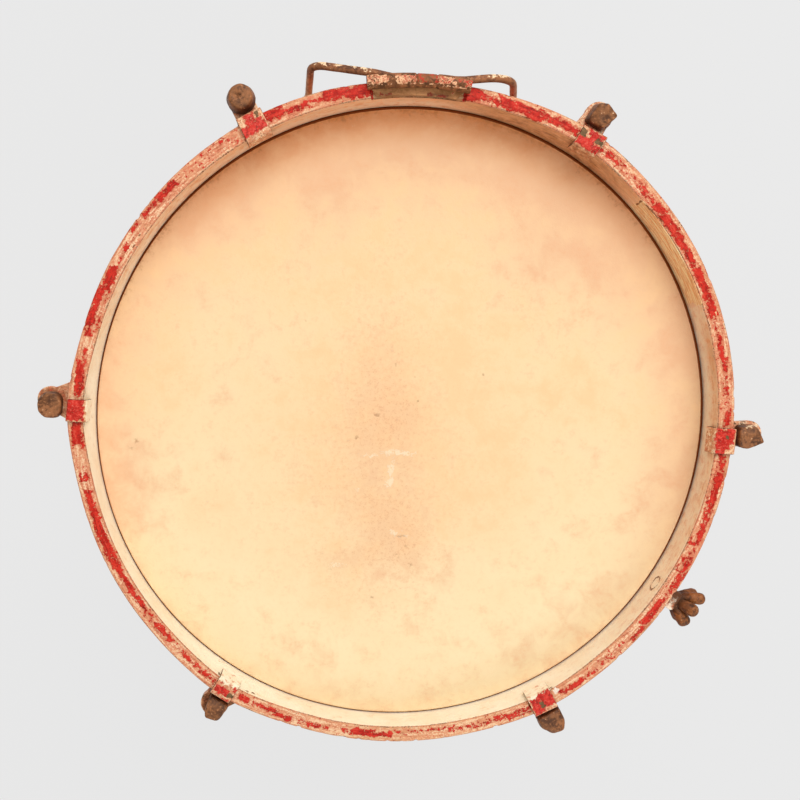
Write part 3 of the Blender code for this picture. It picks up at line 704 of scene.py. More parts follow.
# Marks on the skins in millimetres right of and above the middle, with the leg rest at the top:
# (x, y, half width, half height, strength)
SCUFFS = [
    (-8, -32, 34, 62, 0.55), (-12, 12, 24, 34, 0.3), (-2, -62, 26, 26, 0.35), (10, -76, 14, 16, 0.4),
    (-14, 48, 20, 60, 0.24), (-26, -84, 20, 8, 0.35), (2, 4, 14, 10, 0.25), (68, 74, 20, 18, 0.34),
    (104, 70, 8, 8, 0.3), (48, 24, 5, 5, 0.3), (-6, -100, 34, 14, 0.2), (-44, -30, 16, 24, 0.16),
]
LOWER_SCUFFS = [(20, 10, 60, 70, 0.3), (-60, 40, 40, 30, 0.25)]
SCRATCHES = [
    (-14, -21, 7, 1.2, 1), (-2, -18, 7, 1.6, 1), (6, -18.5, 6, 1.4, 0.9), (-3, -29, 2.6, 7, 0.9),
    (-4, -37, 2.6, 2.4, 1), (1, -66, 5, 1.8, 1), (8, -69, 6, 1.4, 0.8), (-34, -88, 4, 1.4, 1),
    (-28, -87, 4, 1.2, 0.7), (-22, -42, 2, 2, 0.7),
]
MARKS = [
    (-152, -20, 3.4, 1.6, 0.45), (-156, -23, 3, 2.2, 0.45), (-154, -18, 1.6, 3.4, 0.4),
    (47, 29.5, 1, 1.4, 0.9), (-12.6, 3, 1.8, 1, 1), (10, 12, 0.9, 1.5, 1), (-24, -10.5, 1.6, 1.2, 0.9),
    (-57.6, 56, 0.8, 1.2, 0.8), (5, -68, 3.4, 1.2, 0.8), (8, -74, 2.6, 1, 0.8), (5, -80, 3, 1, 0.7),
    (-35, -90, 2.6, 1, 0.7), (12, -86, 2, 1.6, 0.5), (-10, -106, 1.6, 0.9, 0.7), (-4, 32, 0.9, 1.8, 0.6),
    (8, 26, 2.4, 0.8, 0.5),
]


def head_marks(marks, x, y, reach=1.0):
    """How marked, 0 to 1, from marks given as (x, y, half width, half height, strength)."""
    level = np.zeros_like(x)
    for across, up, wide, tall, strength in marks:
        away = ((x - across) / wide) ** 2 + ((y - up) / tall) ** 2
        level += strength * np.exp(-(away**reach))
    return np.clip(level, 0, 1)


def build_head(name, look, level, flip, count):
    """A skin: the playing face, its rounded edge, a ledge beside it dark with painted shade, and the lap down
    over its hoop.
    """
    rounding, ledge_reach, lap = 1.3, 0.6, SKIN_R + 7.1
    flat = SKIN_R - rounding
    bend = np.radians(np.arange(10, 91, 16))
    across = [0.0, *np.linspace(1.6, flat - 0.9, 30 if flip else 110), flat - 0.45, flat]
    profile = [(r, 0.0) for r in across]
    profile += [(flat + rounding * math.sin(a), -rounding * (1 - math.cos(a))) for a in bend]
    profile += [(SKIN_R + ledge_reach, -rounding - 0.2), (SKIN_R + ledge_reach, -rounding - 1.2)]
    # Down the side, under the flesh hoop and up its outside
    profile += [(SKIN_R, z) for z in np.linspace(-rounding - 1.7, -27.2, 10)]
    profile += [(SKIN_R, -28.3), (SKIN_R + 1, -28.4), (lap, -28.4)]
    profile += [(lap + 0.8, -28.0), (lap + 0.8, -19.4), (lap, -19.3)]
    degrees, radius, height = turned(profile, count)
    turn = np.radians(degrees)
    x, y = radius * np.cos(turn), radius * np.sin(turn)
    swell = cloud(x, y, 45, 31 + flip) + 0.4 * cloud(x, y, 14, 33 + flip)
    height = height - np.where(radius < flat, 0.25 + 0.2 * swell, 0)

    def toward(middle, low, high):
        return smooth(low, high, np.cos(turn - math.radians(middle)))

    # The tone by the rim follows the light as well as the skin: paler by the lit lower side is partly painted
    # light, and pinker, darker and orange-brown toward the top and sides is partly painted shade beside the
    # hoop's wall.
    upper_half = toward(85, 0.2, 1.0)
    dull_side = np.clip((0.95 - np.cos(turn - math.radians(272))) / 0.9, 0, 0.78)
    paler = smooth(60, 178, radius) * toward(265, -0.3, 0.9)
    # Painted shade, partly stain: orange-brown close beside the rim all round, and much more toward the top
    # in the hoop's shadow.
    tan = 0.45 * smooth(SKIN_R - 4, SKIN_R + 2, radius)
    tan = tan + 0.62 * toward(92, 0.3, 1.0) * smooth(145, 176, radius)
    # Painted shade: dark at the gap beside the rim, wider on the shaded upper right, and all over the skin's
    # side and ledge down the gap.
    gap_shade_edge = SKIN_R - 0.45 - 1.05 * toward(62, -0.9, 0.9)
    in_gap = (height < -1.4) & (height > -27.6) & (radius < SKIN_R + 0.7)
    on_lap = radius > SKIN_R + 0.9
    broken = cloud(x, y, 2.2, 37, start=90)
    levels = {
        "pale": 0.24 + 0.75 * paler + 0.2 * smooth(40, 90, radius) * (1 - 0.7 * upper_half),
        "blush": 0.45 * upper_half * smooth(60, 150, radius) + 0.8 * dull_side * smooth(120, 176, radius),
        "tan": np.where(on_lap, 0.18, tan),
        "gap_shade": np.where(in_gap, 1.0, smooth(gap_shade_edge - 0.4, gap_shade_edge + 0.4, radius) * ~on_lap),
        "dirt": np.where(on_lap, 0.5, 0.62 * toward(98, -0.1, 0.7) * smooth(166, 177, radius)),
        "scuff": head_marks(LOWER_SCUFFS if flip else SCUFFS, x, y),
        "scratch": head_marks([] if flip else SCRATCHES, x + broken, y + broken),
        "mark": head_marks([] if flip else MARKS, x + 0.5 * broken, y + 0.5 * broken, 2.0),
    }
    grids = (degrees, radius, height)
    settings = {"closed": False, "level": level, "flip": flip, "sharp": 60}
    return turned_piece(name + "_skin", grids, look, name, levels, **settings)


def build_flesh_hoop(name, look, level, flip):
    """The plain wooden ring that a skin is lapped on, as much out of round as the skin."""
    inner, outer, top, bottom, corner = SKIN_R + 0.5, SKIN_R + 6.7, -18.6, -27.2, 0.6
    outside = [(outer - corner, top), (outer, top - corner)]
    outside += [(outer, bottom + corner), (outer - corner, bottom)]
    grids = turned([(inner, top), *outside, (inner, bottom)], 240)
    return turned_piece(name + "_ring", grids, look, name, {}, level=level, flip=flip)


def build_shell(look):
    """The barrel, with its paint rubbed off in places and its ends bevelled inward."""
    half = (SHELL_HIGH - SHELL_LOW) / 2 / MM
    outside = [(SHELL_R, z) for z in np.linspace(half - 1.2, -half + 1.2, 110)]
    inside = [(SHELL_R - 6, z) for z in np.linspace(-half + 4.8, half - 4.8, 12)]
    profile = [*outside, (SHELL_R - 1.2, -half), *inside, (SHELL_R - 1.2, half)]
    degrees, radius, height = turned(profile, 360)
    outer_side = radius > SHELL_R - 0.1
    radius = radius - outer_side * (0.2 + 0.2 * round_noise(degrees, 14, height / 90, 41))
    broad, fine = round_noise(degrees, 26, height / 30, 43), round_noise(degrees, 120, height / 8, 45)
    bare = 0.28 + 0.3 * broad + 0.2 * fine
    near_rod = np.min([np.abs(turn_to(degrees, claw)) for claw in CLAW_DEGREES], axis=0)
    grime_and_shade = 0.25 * smooth(half - 40, half, np.abs(height)) + 0.12 * (1 - smooth(0, 5, near_rod))
    levels = {"bare": np.where(outer_side, bare, 1.0), "grime_and_shade": grime_and_shade}
    middle = (SHELL_LOW + SHELL_HIGH) / 2
    return turned_piece("shell_skin", (degrees, radius, height), look, "shell", levels, height, level=middle)


def section(width, thick, corner, step):
    """A rounded rectangle as (across, through) points, dense along the width."""
    half, deep = width / 2 - corner, thick / 2 - corner
    bend = np.radians(np.arange(0, 91, 22.5))
    points = []
    for turn, centre in ((0, (half, deep)), (90, (-half, deep)), (180, (-half, -deep)), (270, (half, -deep))):
        at = bend + math.radians(turn)
        points += [(centre[0] + corner * math.cos(a), centre[1] + corner * math.sin(a)) for a in at]
        if turn in (0, 180):
            run = np.arange(step, 2 * half, step)
            side = 1 if turn == 0 else -1
            points += [(side * (half - x), side * (deep + corner)) for x in run]
    return np.array(points)


def bent_path(corners, radii, step):
    """A polyline through corners with rounded bends, resampled every `step` millimetres."""
    corners = np.array(corners, float)
    points = [corners[0]]
    for before, corner, after, radius in zip(corners, corners[1:], corners[2:], radii):
        back = (before - corner) / np.linalg.norm(before - corner)
        forth = (after - corner) / np.linalg.norm(after - corner)
        half = math.acos(np.clip(back @ forth, -1, 1)) / 2
        centre = corner + (back + forth) / np.linalg.norm(back + forth) * radius / math.sin(half)
        start = corner + back * radius / math.tan(half) - centre
        end = corner + forth * radius / math.tan(half) - centre
        swing = math.acos(np.clip(start @ end / radius**2, -1, 1))
        for share in np.linspace(0, 1, 9):
            along = math.sin((1 - share) * swing) * start + math.sin(share * swing) * end
            points.append(centre + along / math.sin(swing))
    points = np.array([*points, corners[-1]])
    run = np.concatenate([[0], np.cumsum(np.linalg.norm(np.diff(points, axis=0), axis=1))])
    wanted = np.linspace(0, run[-1], max(2, int(run[-1] / step)))
    return np.stack([np.interp(wanted, run, values) for values in points.T], 1), wanted


def swept(path, ups, shape, closed=False):
    """Carry a section along a path. `ups` gives the section's second direction at each point."""
    ahead = np.roll(path, -1, 0) - np.roll(path, 1, 0)
    if not closed:
        ahead[0], ahead[-1] = path[1] - path[0], path[-1] - path[-2]
    ahead /= np.linalg.norm(ahead, axis=1)[:, None]
    side = np.cross(ups, ahead)
    side /= np.linalg.norm(side, axis=1)[:, None]
    up = np.cross(ahead, side)
    points = path[:, None] + side[:, None] * shape[None, :, :1] + up[:, None] * shape[None, :, 1:]
    if closed:
        faces = grid_faces(len(path), len(shape), close_rows=True, close_columns=True).tolist()
    else:
        faces = ring_faces(len(path), len(shape))
    return points.reshape(-1, 3), faces


def joined(parts):
    """Several (points, faces, levels) as one, with the faces renumbered."""
    points, faces, levels, start = [], [], {}, 0
    for part_points, part_faces, part_levels in parts:
        points.append(part_points)
        faces += [[index + start for index in face] for face in part_faces]
        for key, values in part_levels.items():
            levels.setdefault(key, []).append(values)
        start += len(part_points)
    return np.concatenate(points), faces, {key: np.concatenate(values) for key, values in levels.items()}


def turned_to(points, degrees, radius=0.0):
    """Points given with +X outward, put `radius` out from the axis at an angle."""
    turn = math.radians(degrees)
    x, y = points[:, 0] + radius, points[:, 1]
    across, along = x * math.cos(turn) - y * math.sin(turn), x * math.sin(turn) + y * math.cos(turn)
    return np.stack([across, along, points[:, 2]], 1)


# What is left on each upper claw's plate, seen with the drum's middle below it: patches from left to
# right and outward from the rim's inner edge, in millimetres
CLAW_RED = {
    0: [(-6.2, 2, -0.6, 9.6, 1), (1.6, 5.4, -0.6, 7, 1), (5, 7.6, 0, 4.6, 1)],
    60: [(-6.4, 7, 1.6, 6.4, 1), (-3, 6.2, 8.4, 12, 1), (-1, 2, 6, 9, 0.8)],
    120: [
        (-6.8, -2.4, 0.8, 5.8, 1), (-2.8, 7.6, 0.8, 5.4, 1), (-2.6, 3.4, 5.2, 11.4, 0.8),
        (3, 6.2, 5, 7.4, 0.9),
    ],
    180: [(-7, 6.4, 1.8, 12, 1)],
    240: [
        (-1.6, 7.4, 7.2, 11.4, 0.95), (5.4, 8.4, 5.2, 9.6, 0.45), (-8.4, -2.8, 4, 6.4, 0.75),
        (-3.8, 0, 12, 14.4, 0.6),
    ],
    300: [(-6.9, 0.8, 0.2, 9, 1), (0.4, 6.4, 1.4, 11.2, 1)],
}
CLAW_BARE = {
    0: [(-2.7, -0.5, 4.4, 6.8, 0.8)],
    60: [(-7.6, -3.6, 6.6, 10.4, 1), (2.8, 7.2, 6.8, 9.4, 0.9)],
    120: [(3.6, 6.4, 7.4, 11, 0.75)],
    180: [(4.6, 7, 5.6, 9.6, 0.5)],
    240: [(-6.4, -1.6, 8.2, 11.2, 1)],
    300: [(-0.8, 1.8, 4.6, 8.6, 1)],
}
# Where the cream is clean on an upper plate
CLAW_CLEAN = {
    240: [(-8.5, 8.5, -1, 4.3, 1), (-0.5, 4, 4, 5.4, 0.8)],
    300: [(-8.5, 8.5, -1, 1, 1), (2.4, 8, -1, 2.2, 1)],
}
# How much brown stain there is on each upper plate
CLAW_STAIN = {0: 0.1, 60: 0.25, 120: 0.2, 180: 0.3, 240: 0.2, 300: 0.1}
# How each upper strap sits: (how far its outer edge stands out, its middle to the left, its width,
# how much further out its left side is)
STRAPS = {
    0: (-2, -0.45, 14.5, 0), 60: (-0.35, -0.2, 14.3, -0.1), 120: (-1, -0.9, 14.6, 0),
    180: (-1.2, 1.4, 12.6, 0.1), 240: (1.4, -1.5, 12.8, 0), 300: (-0.7, 0, 14.4, 0),
}
# Each upper ear: how far its lobe is out and to the left of the rod's hole, the lobe's radius, how
# far it reaches right and left where it meets the strap, how bare it is, and how brown
EARS = {
    0: (0, 3.4, 7.7, 5, 10.8, 0.2, 0.1), 60: (0.9, 1.8, 7.8, 6.5, 11, 0.1, 0.1),
    120: (0, -1.2, 7.2, 8.4, 6.6, 0.1, 0.2), 180: (1.2, -3.6, 7.4, 14.4, 8.6, 0, 0.5),
    240: (0, -0.7, 8.3, 8, 12, 0.3, 1), 300: (0, 0, 7.2, 7, 7, 0.4, 0.5),
}
PLAIN_EAR = (0, 0, 9, 11.5, 11.5, 0.3, 0.2)


def build_claw(number, degrees, look, upper):
    """A claw: a strap bent over the rim from a tab inside the hoop, and the ear for the rod."""
    name = f"{'upper' if upper else 'lower'}_claw_{number}"
    seed = 60 + number + (0 if upper else 20)
    top = 1.4
    middle = [(INNER - 1.3, -8.9), (INNER - 1.3, top), (OUTER + 1.4, top), (OUTER + 1.4, -13.6)]
    path, run = bent_path(middle, (1.5, 1.5), 0.6)
    stand, aside, width, skew = STRAPS[degrees] if upper else (0.0, 0.0, 15.3, 0.0)
    along = np.stack([path[:, 0], 0 * run, path[:, 1]], 1)
    ahead = np.gradient(path, axis=0)
    away = np.stack([-ahead[:, 1], 0 * run, ahead[:, 0]], 1)
    points, faces = swept(along, away, section(width, 2.2, 0.5, 0.65))
    side, out, up = points[:, 1].copy(), points[:, 0] - INNER, points[:, 2].copy()
    wobble = cloud(side, out + up, 4, seed) + 0.5 * cloud(side, out + up, 1.5, seed + 1)
    points[:, 1] += 0.2 * wobble * np.abs(side) / 7.6
    points[:, 2] -= 0.14 * (wobble + 1.6) * (up > 2)
    points[:, 0] += np.where(up < 0.5, 0.12 * wobble, 0)
    if upper:
        inward = float(out_of_round(degrees) + lean(degrees) - SHRUNK)
        points[:, 0] += inward + (stand - inward) * smooth(-1, OUTER - INNER, out) + skew * points[:, 1]
        points[:, 1] += aside
        side, out = points[:, 1].copy(), points[:, 0] - INNER + PAINT_AT
    ragged = 0.7 * cloud(side, out, 1.1, seed + 3, start=90)
    worn = cloud(side, up, 4, seed + 7, start=9)
    plate = up > 0.3
    inside = (out < 5) & ~plate
    outer_side = (out > 5) & ~plate
    tab = inside | (plate & (out < 0.9))
    if upper:
        patches = (table.get(degrees, []) for table in (CLAW_RED, CLAW_BARE, CLAW_CLEAN))
        red, bare, paler = (patched(patch, -side, out, ragged, soft=0.8) * plate for patch in patches)
        pale, brown = inner_paint(float(degrees), -6.0)
        stain = CLAW_STAIN[degrees]
    else:
        red = (0.6 + 0.4 * cloud(side, out, 3, seed + 5, start=9)) * plate
        bare, paler = 0.3 * plate, 0
        pale, brown = inner_paint(float(degrees) + STAINS_TURNED)
        stain = 0.2
    from_edge = width / 2 - np.abs(side - aside)
    levels = {
        "red": np.where(outer_side, 0.5 + 0.5 * worn, red),
        "bare": np.where(outer_side, 0.3 - 0.3 * worn, bare),
        "pale": np.where(tab, pale, 0.15 * plate + paler),
        "brown": np.where(tab, brown, (stain + 0.2 * worn) * (1 - paler)),
        # Painted shade: dark lines along the strap's side edges, the shadow in the gaps beside it.
        "grime_and_shade": 0.32 * (1 - smooth(0.1, 0.7, from_edge)) + 0.55 * (1 - smooth(0, 0.2, from_edge)),
        "inside": 1.0 * inside,
    }
    ear = ear_part(seed, *(EARS[degrees] if upper else PLAIN_EAR))
    points, faces, levels = joined([(points, faces, levels), ear])
    moved = turned_to(points, degrees)
    settings = {"level": RIM if upper else LOWER_RIM, "flip": not upper, "oval": not upper}
    return mesh_piece(name + "_iron", moved, faces, look, name, levels, **settings)


def ear_part(seed, out, shift, lobe, right, left, bare, brown):
    """The ear below the rim, a thick plate with a rounded lobe, flared where it meets the strap."""
    face, centre = OUTER + 0.6, ROD_REACH + out
    angles = np.radians(np.linspace(-112, 105, 40))
    outline = [(face, -right), (face + 2.0, -right + 0.6)]
    outline += [(centre + lobe * math.cos(a), shift + lobe * math.sin(a)) for a in angles]
    outline += [(face + 2.0, left - 0.6), (face, left)]
    outline, _ = bent_path(outline, [0.4] * (len(outline) - 2), 0.8)
    middle = np.array([centre - 3, shift])
    insets = [5.0, 2.5, 0.9, 0.3, 0.0, 0.0, 0.0, 0.3, 0.9, 2.5, 5.0]
    heights = [-9.05, -9.05, -9.1, -9.3, -9.8, -11.5, -13.2, -13.7, -13.9, -13.95, -13.95]
    rings = [middle + (outline - middle) * (1 - inset / 11) for inset in insets]
    points = np.column_stack([np.concatenate(rings), np.repeat(heights, len(outline))])
    x, y = points[:, 0], points[:, 1]
    points[:, 2] += 0.15 * cloud(y, x, 5, seed + 11) * (points[:, 2] > -13)
    mottle = cloud(y, x, 4, seed + 13, start=70)
    # Painted shade with some rust stain: darker round the rod under its head, and between the rod head and
    # the strap.
    beside_rod = 1 - smooth(6.5, 9.5, np.hypot(x - centre, y))
    by_strap = (1 - smooth(face + 3.5, face + 6.5, x)) * (np.abs(y - shift) < 6.5)
    on_edge = np.repeat(np.array(insets) < 0.5, len(outline))
    return points, ring_faces(len(rings), len(outline)), {
        "red": 0.05 + 0.1 * mottle,
        "bare": bare + 0.3 * mottle * (bare > 0),
        "pale": (0.35 + 0.2 * mottle) * (1 - brown),
        "brown": (brown + 0.25 * mottle) * (1 - 0.6 * on_edge),
        "grime_and_shade": 0.6 * beside_rod + 0.9 * brown * by_strap,
        "inside": 0 * x,
    }


# Each upper rod's head: how far its middle is out and to the left of the rod, how sharp its edges
# are, and its faces as (degrees round from outward, degrees up, millimetres from its middle)
ROD_HEADS = {
    1: (-1.6, 2.9, 14, [
        (33, 6, 5.3), (95, 10, 5.6), (159, 4, 8), (188, 0, 7.5), (259, -4, 7.8), (296, 4, 6.6),
        (98, 68, 4.7), (280, 74, 4.4), (20, 50, 6),
    ]),
    2: (-0.1, 0.7, 14, [
        (31, 8, 6.7), (343, 6, 6), (253, 2, 5.4), (183, 0, 6.4), (92, 10, 6.4), (140, 12, 8),
        (130, 62, 5.4), (300, 80, 4.5),
    ]),
    3: (-0.5, -1.4, 9, [
        (0, 10, 7.3), (45, 12, 7.3), (90, 10, 7.3), (135, 12, 7.3), (180, 10, 7.3), (225, 12, 7.3),
        (270, 10, 7.3), (315, 12, 7.3), (0, 90, 4.6),
    ]),
    4: (-0.1, -0.6, 12, [
        (4, 10, 6.8), (48, 12, 7.2), (92, 4, 7.3), (140, 0, 7.8), (178, -6, 6.9), (228, 6, 7.8),
        (272, 10, 7.3), (318, 12, 7), (310, 66, 4.9), (150, 76, 4.5),
    ]),
    5: (1.2, 0.5, 12, [
        (14, 4, 6), (306, 6, 5.9), (279, 2, 5.4), (92, 2, 5.8), (182, 0, 7), (60, 20, 6.8), (200, 68, 4.8),
        (10, 78, 4.4),
    ]),
    6: (-0.7, 0.3, 12, [
        (0, 8, 6.2), (52, 8, 6.9), (90, 4, 7.3), (275, 4, 6.9), (303, 8, 6), (180, 0, 6.8), (330, 50, 6.2),
        (150, 74, 4.5),
    ]),
}
# The rod whose head has a pit in its top, and the one with a chip of cream paint
PITTED_ROD = 3
CHIPPED_ROD = 1
# How tall a rod's head is
HEAD_HEIGHT = 9.0


def chiselled(planes, sharpness, middle, seed):
    """A worn lump bounded by flat faces, each given as (degrees round, degrees up, distance)."""
    around = np.radians(np.arange(0, 360, 4.0))
    lift = np.radians(np.concatenate([[-89.0], np.arange(-84, 85, 4.0), [89.0]]))
    up, turn = np.meshgrid(lift, around, indexing="ij")
    spokes = np.stack([np.cos(up) * np.cos(turn), np.cos(up) * np.sin(turn), np.sin(up)], -1)
    total = 0
    for degrees, rise, distance in [(0, -90, HEAD_HEIGHT / 2), *planes]:
        a, b = math.radians(degrees), math.radians(rise)
        normal = np.array([math.cos(b) * math.cos(a), math.cos(b) * math.sin(a), math.sin(b)])
        total = total + np.maximum(spokes @ normal / distance, 0) ** sharpness
    points = (spokes * (total ** (-1 / sharpness))[..., None]).reshape(-1, 3)
    x, y, z = points.T
    rough = cloud(x, y + z, 2.2, seed, start=60) + 0.6 * cloud(x, y - z, 0.9, seed + 1, start=60)
    return points * (1 - 0.012 * (1 + rough))[:, None] + middle, ring_faces(len(lift), len(around))


def build_rod(number, degrees, look):
    """A rod: its hammered head above the upper ear and the plain shank down through the lower one."""
    name = f"tension_rod_{number}"
    low, high = (corner.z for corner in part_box(name))
    foot, shoulder = (low - RIM) / MM, (high - RIM) / MM - HEAD_HEIGHT
    out, left, sharpness, planes = ROD_HEADS[number]
    seed = 100 + number
    head, faces = chiselled(planes, sharpness, np.array([out, left, shoulder + HEAD_HEIGHT / 2]), seed)
    if number == PITTED_ROD:
        pit = np.exp(-((head[:, 0] - 0.8) ** 2 + head[:, 1] ** 2) / 2.2)
        head[:, 2] -= 1.3 * pit * (head[:, 2] > shoulder + 6)
    above = head[:, 2] - shoulder
    levels = {
        "cream": np.zeros(len(head)),
        # Painted shade: the head darker low down on its side toward the drum, where the hoop and the strap
        # shade it.
        "grime_and_shade": 0.7 * smooth(-0.2, 1.0, (out - head[:, 0]) / 7) * (1 - smooth(4, 8, above)),
    }
    if number == CHIPPED_ROD:
        along, aside = head[:, 0] + 2, head[:, 1] - 8.6
        chip = np.exp(-(((0.92 * aside - 0.38 * along) / 0.9) ** 2))
        chip = chip * (np.abs(0.92 * along + 0.38 * aside) < 3.4)
        levels["cream"] = 0.72 * chip * (above > 3)
    height = np.linspace(foot, shoulder + 2, 60)[:, None]
    bend = np.radians(np.arange(0, 360, 22.5))
    radius = 3.0 + 0.08 * noise(height / 6 + 9, bend / math.tau * 8, seed + 7)
    shank = np.stack([radius * np.cos(bend), radius * np.sin(bend), height + 0 * radius], -1).reshape(-1, 3)
    shank_levels = {"cream": np.zeros(len(shank)), "grime_and_shade": 0.3 * smooth(-30, -12, shank[:, 2])}
    shank_part = (shank, ring_faces(len(height), len(bend)), shank_levels)
    points, faces, levels = joined([(head, faces, levels), shank_part])
    moved = turned_to(points, degrees, ROD_REACH)
    return mesh_piece(name + "_iron", moved, faces, look, name, levels, sharp=60)


def circle(radius, count):
    turn = np.arange(count) / count * math.tau
    return np.stack([radius * np.cos(turn), radius * np.sin(turn)], 1)


def build_bail(look):
    """The wire rest, hanging from its hinge: +X along the hinge, +Y outward."""
    corners = [
        (0, 0, 0), (24, 0, 0), (50.2, 3.1, 0), (57.4, 0.8, -34), (57.5, -2.3, -82), (-65, -2.3, -82),
        (-60, 1, -45), (-58.6, 5.2, 0), (-24.0, 2.0, 0), (-13.0, 0, 0), (0, 0, 0),
    ]
    path, run = bent_path(corners, (6, 18, 12, 12, 12, 20, 8, 20, 12), 1.6)
    path, run = path[:-1], run[:-1]
    spokes, thick, seed = 16, 2.1, 140
    upright = np.tile([0.0, 1.0, 0.02], (len(path), 1))
    points, faces = swept(path, upright, circle(thick, spokes), closed=True)
    along, spoke = np.repeat(run, spokes), np.tile(np.arange(spokes), len(path))
    centre = np.repeat(path, spokes, 0)
    points = centre + (points - centre) * (0.98 + 0.025 * noise(along / 5 + 5, spoke / 4.0, seed))[:, None]
    facing = (points - centre) / thick
    fleck = noise(along / 3.2 + 5, spoke / 3.0, seed + 1)
    shoulder = smooth(-12, -2, centre[:, 2]) * smooth(22, 30, np.abs(centre[:, 0]))
    outward = smooth(0.2, 1.0, 0.8 * facing[:, 1] + 0.5 * facing[:, 2])
    levels = {
        "cream": shoulder * outward * (0.46 + 0.35 * fleck) + 0.25 * (1 - shoulder) * smooth(0.4, 0.8, fleck),
        # Painted shade: the wire darker on its inward side by the shoulders, away from the light.
        "grime_and_shade": 0.5 * smooth(0.2, 1.0, -facing[:, 1]) * shoulder,
        # Painted light: the legs lighter and yellower, where they are lit less and take red light off the
        # hoop.
        "rubbed_and_lit": 0.8 * smooth(-6, -20, centre[:, 2]),
    }
    moved = turned_to(points, REST_DEGREES - 90) + joint_place("leg_rest_hinge")
    return mesh_piece("leg_rest_wire", moved, faces, look, "leg_rest_bail", levels, body="leg_rest")


def joint_place(name):
    """A joint's place in millimetres about the drum's axis, with height from the rim."""
    joint = next(j for j in frame["record"]["behaviour"]["joints"] if j["name"] == name)
    return (np.array(joint["pos_m"]) - [*AXIS, RIM]) / MM


# The paint left along the bracket's barrel, from its left end: (start, end, cream, red)
BARREL_PAINT = [
    (29.6, 22.3, 0.62, 0.3), (22.3, 17.4, 0.85, 0), (17.4, 13.1, 0.15, 0), (13.1, 8.8, 0.66, 0),
    (8.8, 1.8, 0.68, 0.4), (1.8, -9.5, 0.2, 0.35), (-9.5, -19.2, 0.66, 0.34), (-19.2, -24.1, 0.2, 0.2),
    (-24.1, -29, 0.75, 0.55),
]
# Where the middle knuckle of the barrel ends, along the barrel
KNUCKLE = (1.8, -9.5)
# Red stains on the leaf: start and end along it, low and high from its outer edge inward, and how whole
LEAF_STAINS = [(15, 22, 0.78, 1.02, 0.8), (-17, -5, 0.8, 1.02, 0.9)]


def build_bracket(look):
    """The rolled barrel on the rim and the leaf under it, +X outward and +Y to its left."""
    # How far out and up the barrel's middle line is, its two ends, and its radius
    reach, lift, low, high, girth = 185.6, 2.6, -27.9, 28.3, 3.8
    steps = np.linspace(low, high, 106)
    around = np.radians(np.arange(0, 360, 10.0))
    from_joint = np.min([np.abs(steps - place) for place in KNUCKLE], axis=0)
    radii = girth - 0.22 * ((steps < KNUCKLE[0]) & (steps > KNUCKLE[1])) - 0.35 * (from_joint < 0.45)
    turns, radii, spin = steps[:, None] / reach, radii[:, None], around[None]
    radius = reach + radii * np.cos(spin)
    height = lift + radii * np.sin(spin)
    barrel = np.stack([radius * np.cos(turns), radius * np.sin(turns), height], -1).reshape(-1, 3)
    seed = 150
    side, spin = np.repeat(steps, len(around)), np.tile(around, len(steps))
    lump = noise(side / 3 + 30, spin * 2, seed)
    barrel[:, 2] -= 0.14 * (lump + 1) * (barrel[:, 2] > 4)
    shaken = side + 0.8 * noise(side * 0 + 7, spin * 3, seed + 3)
    cream, red = np.zeros(len(side)), np.zeros(len(side))
    for start, end, how_cream, how_red in BARREL_PAINT:
        here = (shaken <= start) & (shaken > end)
        cream[here], red[here] = how_cream, how_red
    on_knuckle = (side < KNUCKLE[0]) & (side > KNUCKLE[1])
    outer_limit = np.where(on_knuckle | (side > 22), 3.9, 2.3)
    across = girth * np.cos(spin) - 0.4 * lump
    painted = smooth(-2.3, -1.5, across) * (1 - smooth(outer_limit - 0.5, outer_limit + 0.3, across))
    painted *= smooth(-0.6, 0.2, np.sin(spin))
    groove = sum(np.exp(-(((side - place) / 0.35) ** 2)) for place in KNUCKLE)
    line = np.exp(-(((across + 2.5) / 0.3) ** 2)) * (np.sin(spin) > 0)
    levels = {
        "red": red * painted,
        "cream": cream * painted + 0.6 * line,
        "grime_and_shade": 0.5 * groove + 0.25 * (1 - painted) * (np.sin(spin) < 0.4),
        "leaf": 0 * side,
    }
    parts = [(barrel, ring_faces(len(steps), len(around)), levels), leaf_part(reach, seed)]
    points, faces, levels = joined(parts)
    moved = turned_to(points, REST_DEGREES)
    return mesh_piece("leg_rest_hinge_iron", moved, faces, look, "leg_rest_bracket", levels)


def leaf_part(reach, seed):
    """The bracket's leaf, let into the rim from its inner edge out to the barrel."""
    rows, columns, thick = 70, 12, 0.95
    half_length, flare, shift = 22.8, 4.0, 0.6
    share = np.linspace(0, 1, columns)
    radius = (INNER + 0.4) + (reach - INNER - 0.4) * share
    turns = (np.linspace(-1, 1, rows)[:, None] * (half_length + flare * share) + shift) / reach
    along = turns * reach
    height = -1.3 + 0.25 * noise(along / 9 + 50, radius / 4 + 0 * turns, seed + 5)
    top = np.stack([radius * np.cos(turns), radius * np.sin(turns), height], -1).reshape(-1, 3)
    points = np.concatenate([top, top - [0, 0, thick]])
    one, count = grid_faces(rows, columns), rows * columns
    numbers = np.arange(count).reshape(rows, columns)
    border = [*numbers[0], *numbers[1:, -1], *numbers[-1, -2::-1], *numbers[-2:0:-1, 0]]
    faces = one.tolist() + (one + count).tolist()
    faces += [[a, b, b + count, a + count] for a, b in zip(border, border[1:] + border[:1])]
    inner = 1 - share + 0 * along
    ragged = 0.08 * noise(along / 1.2 + 80, inner * 6, seed + 7)
    stains = patched(LEAF_STAINS, along, inner, ragged, soft=0.1)
    grime_and_shade = 0.2 * smooth(0.5, 0.85, share) + 0.7 * stains
    return points, faces, {
        "red": np.tile(0.6 * stains.ravel(), 2),
        "cream": np.full(len(points), 0.05),
        "grime_and_shade": np.tile(grime_and_shade.ravel(), 2),
        "leaf": np.ones(len(points)),
    }


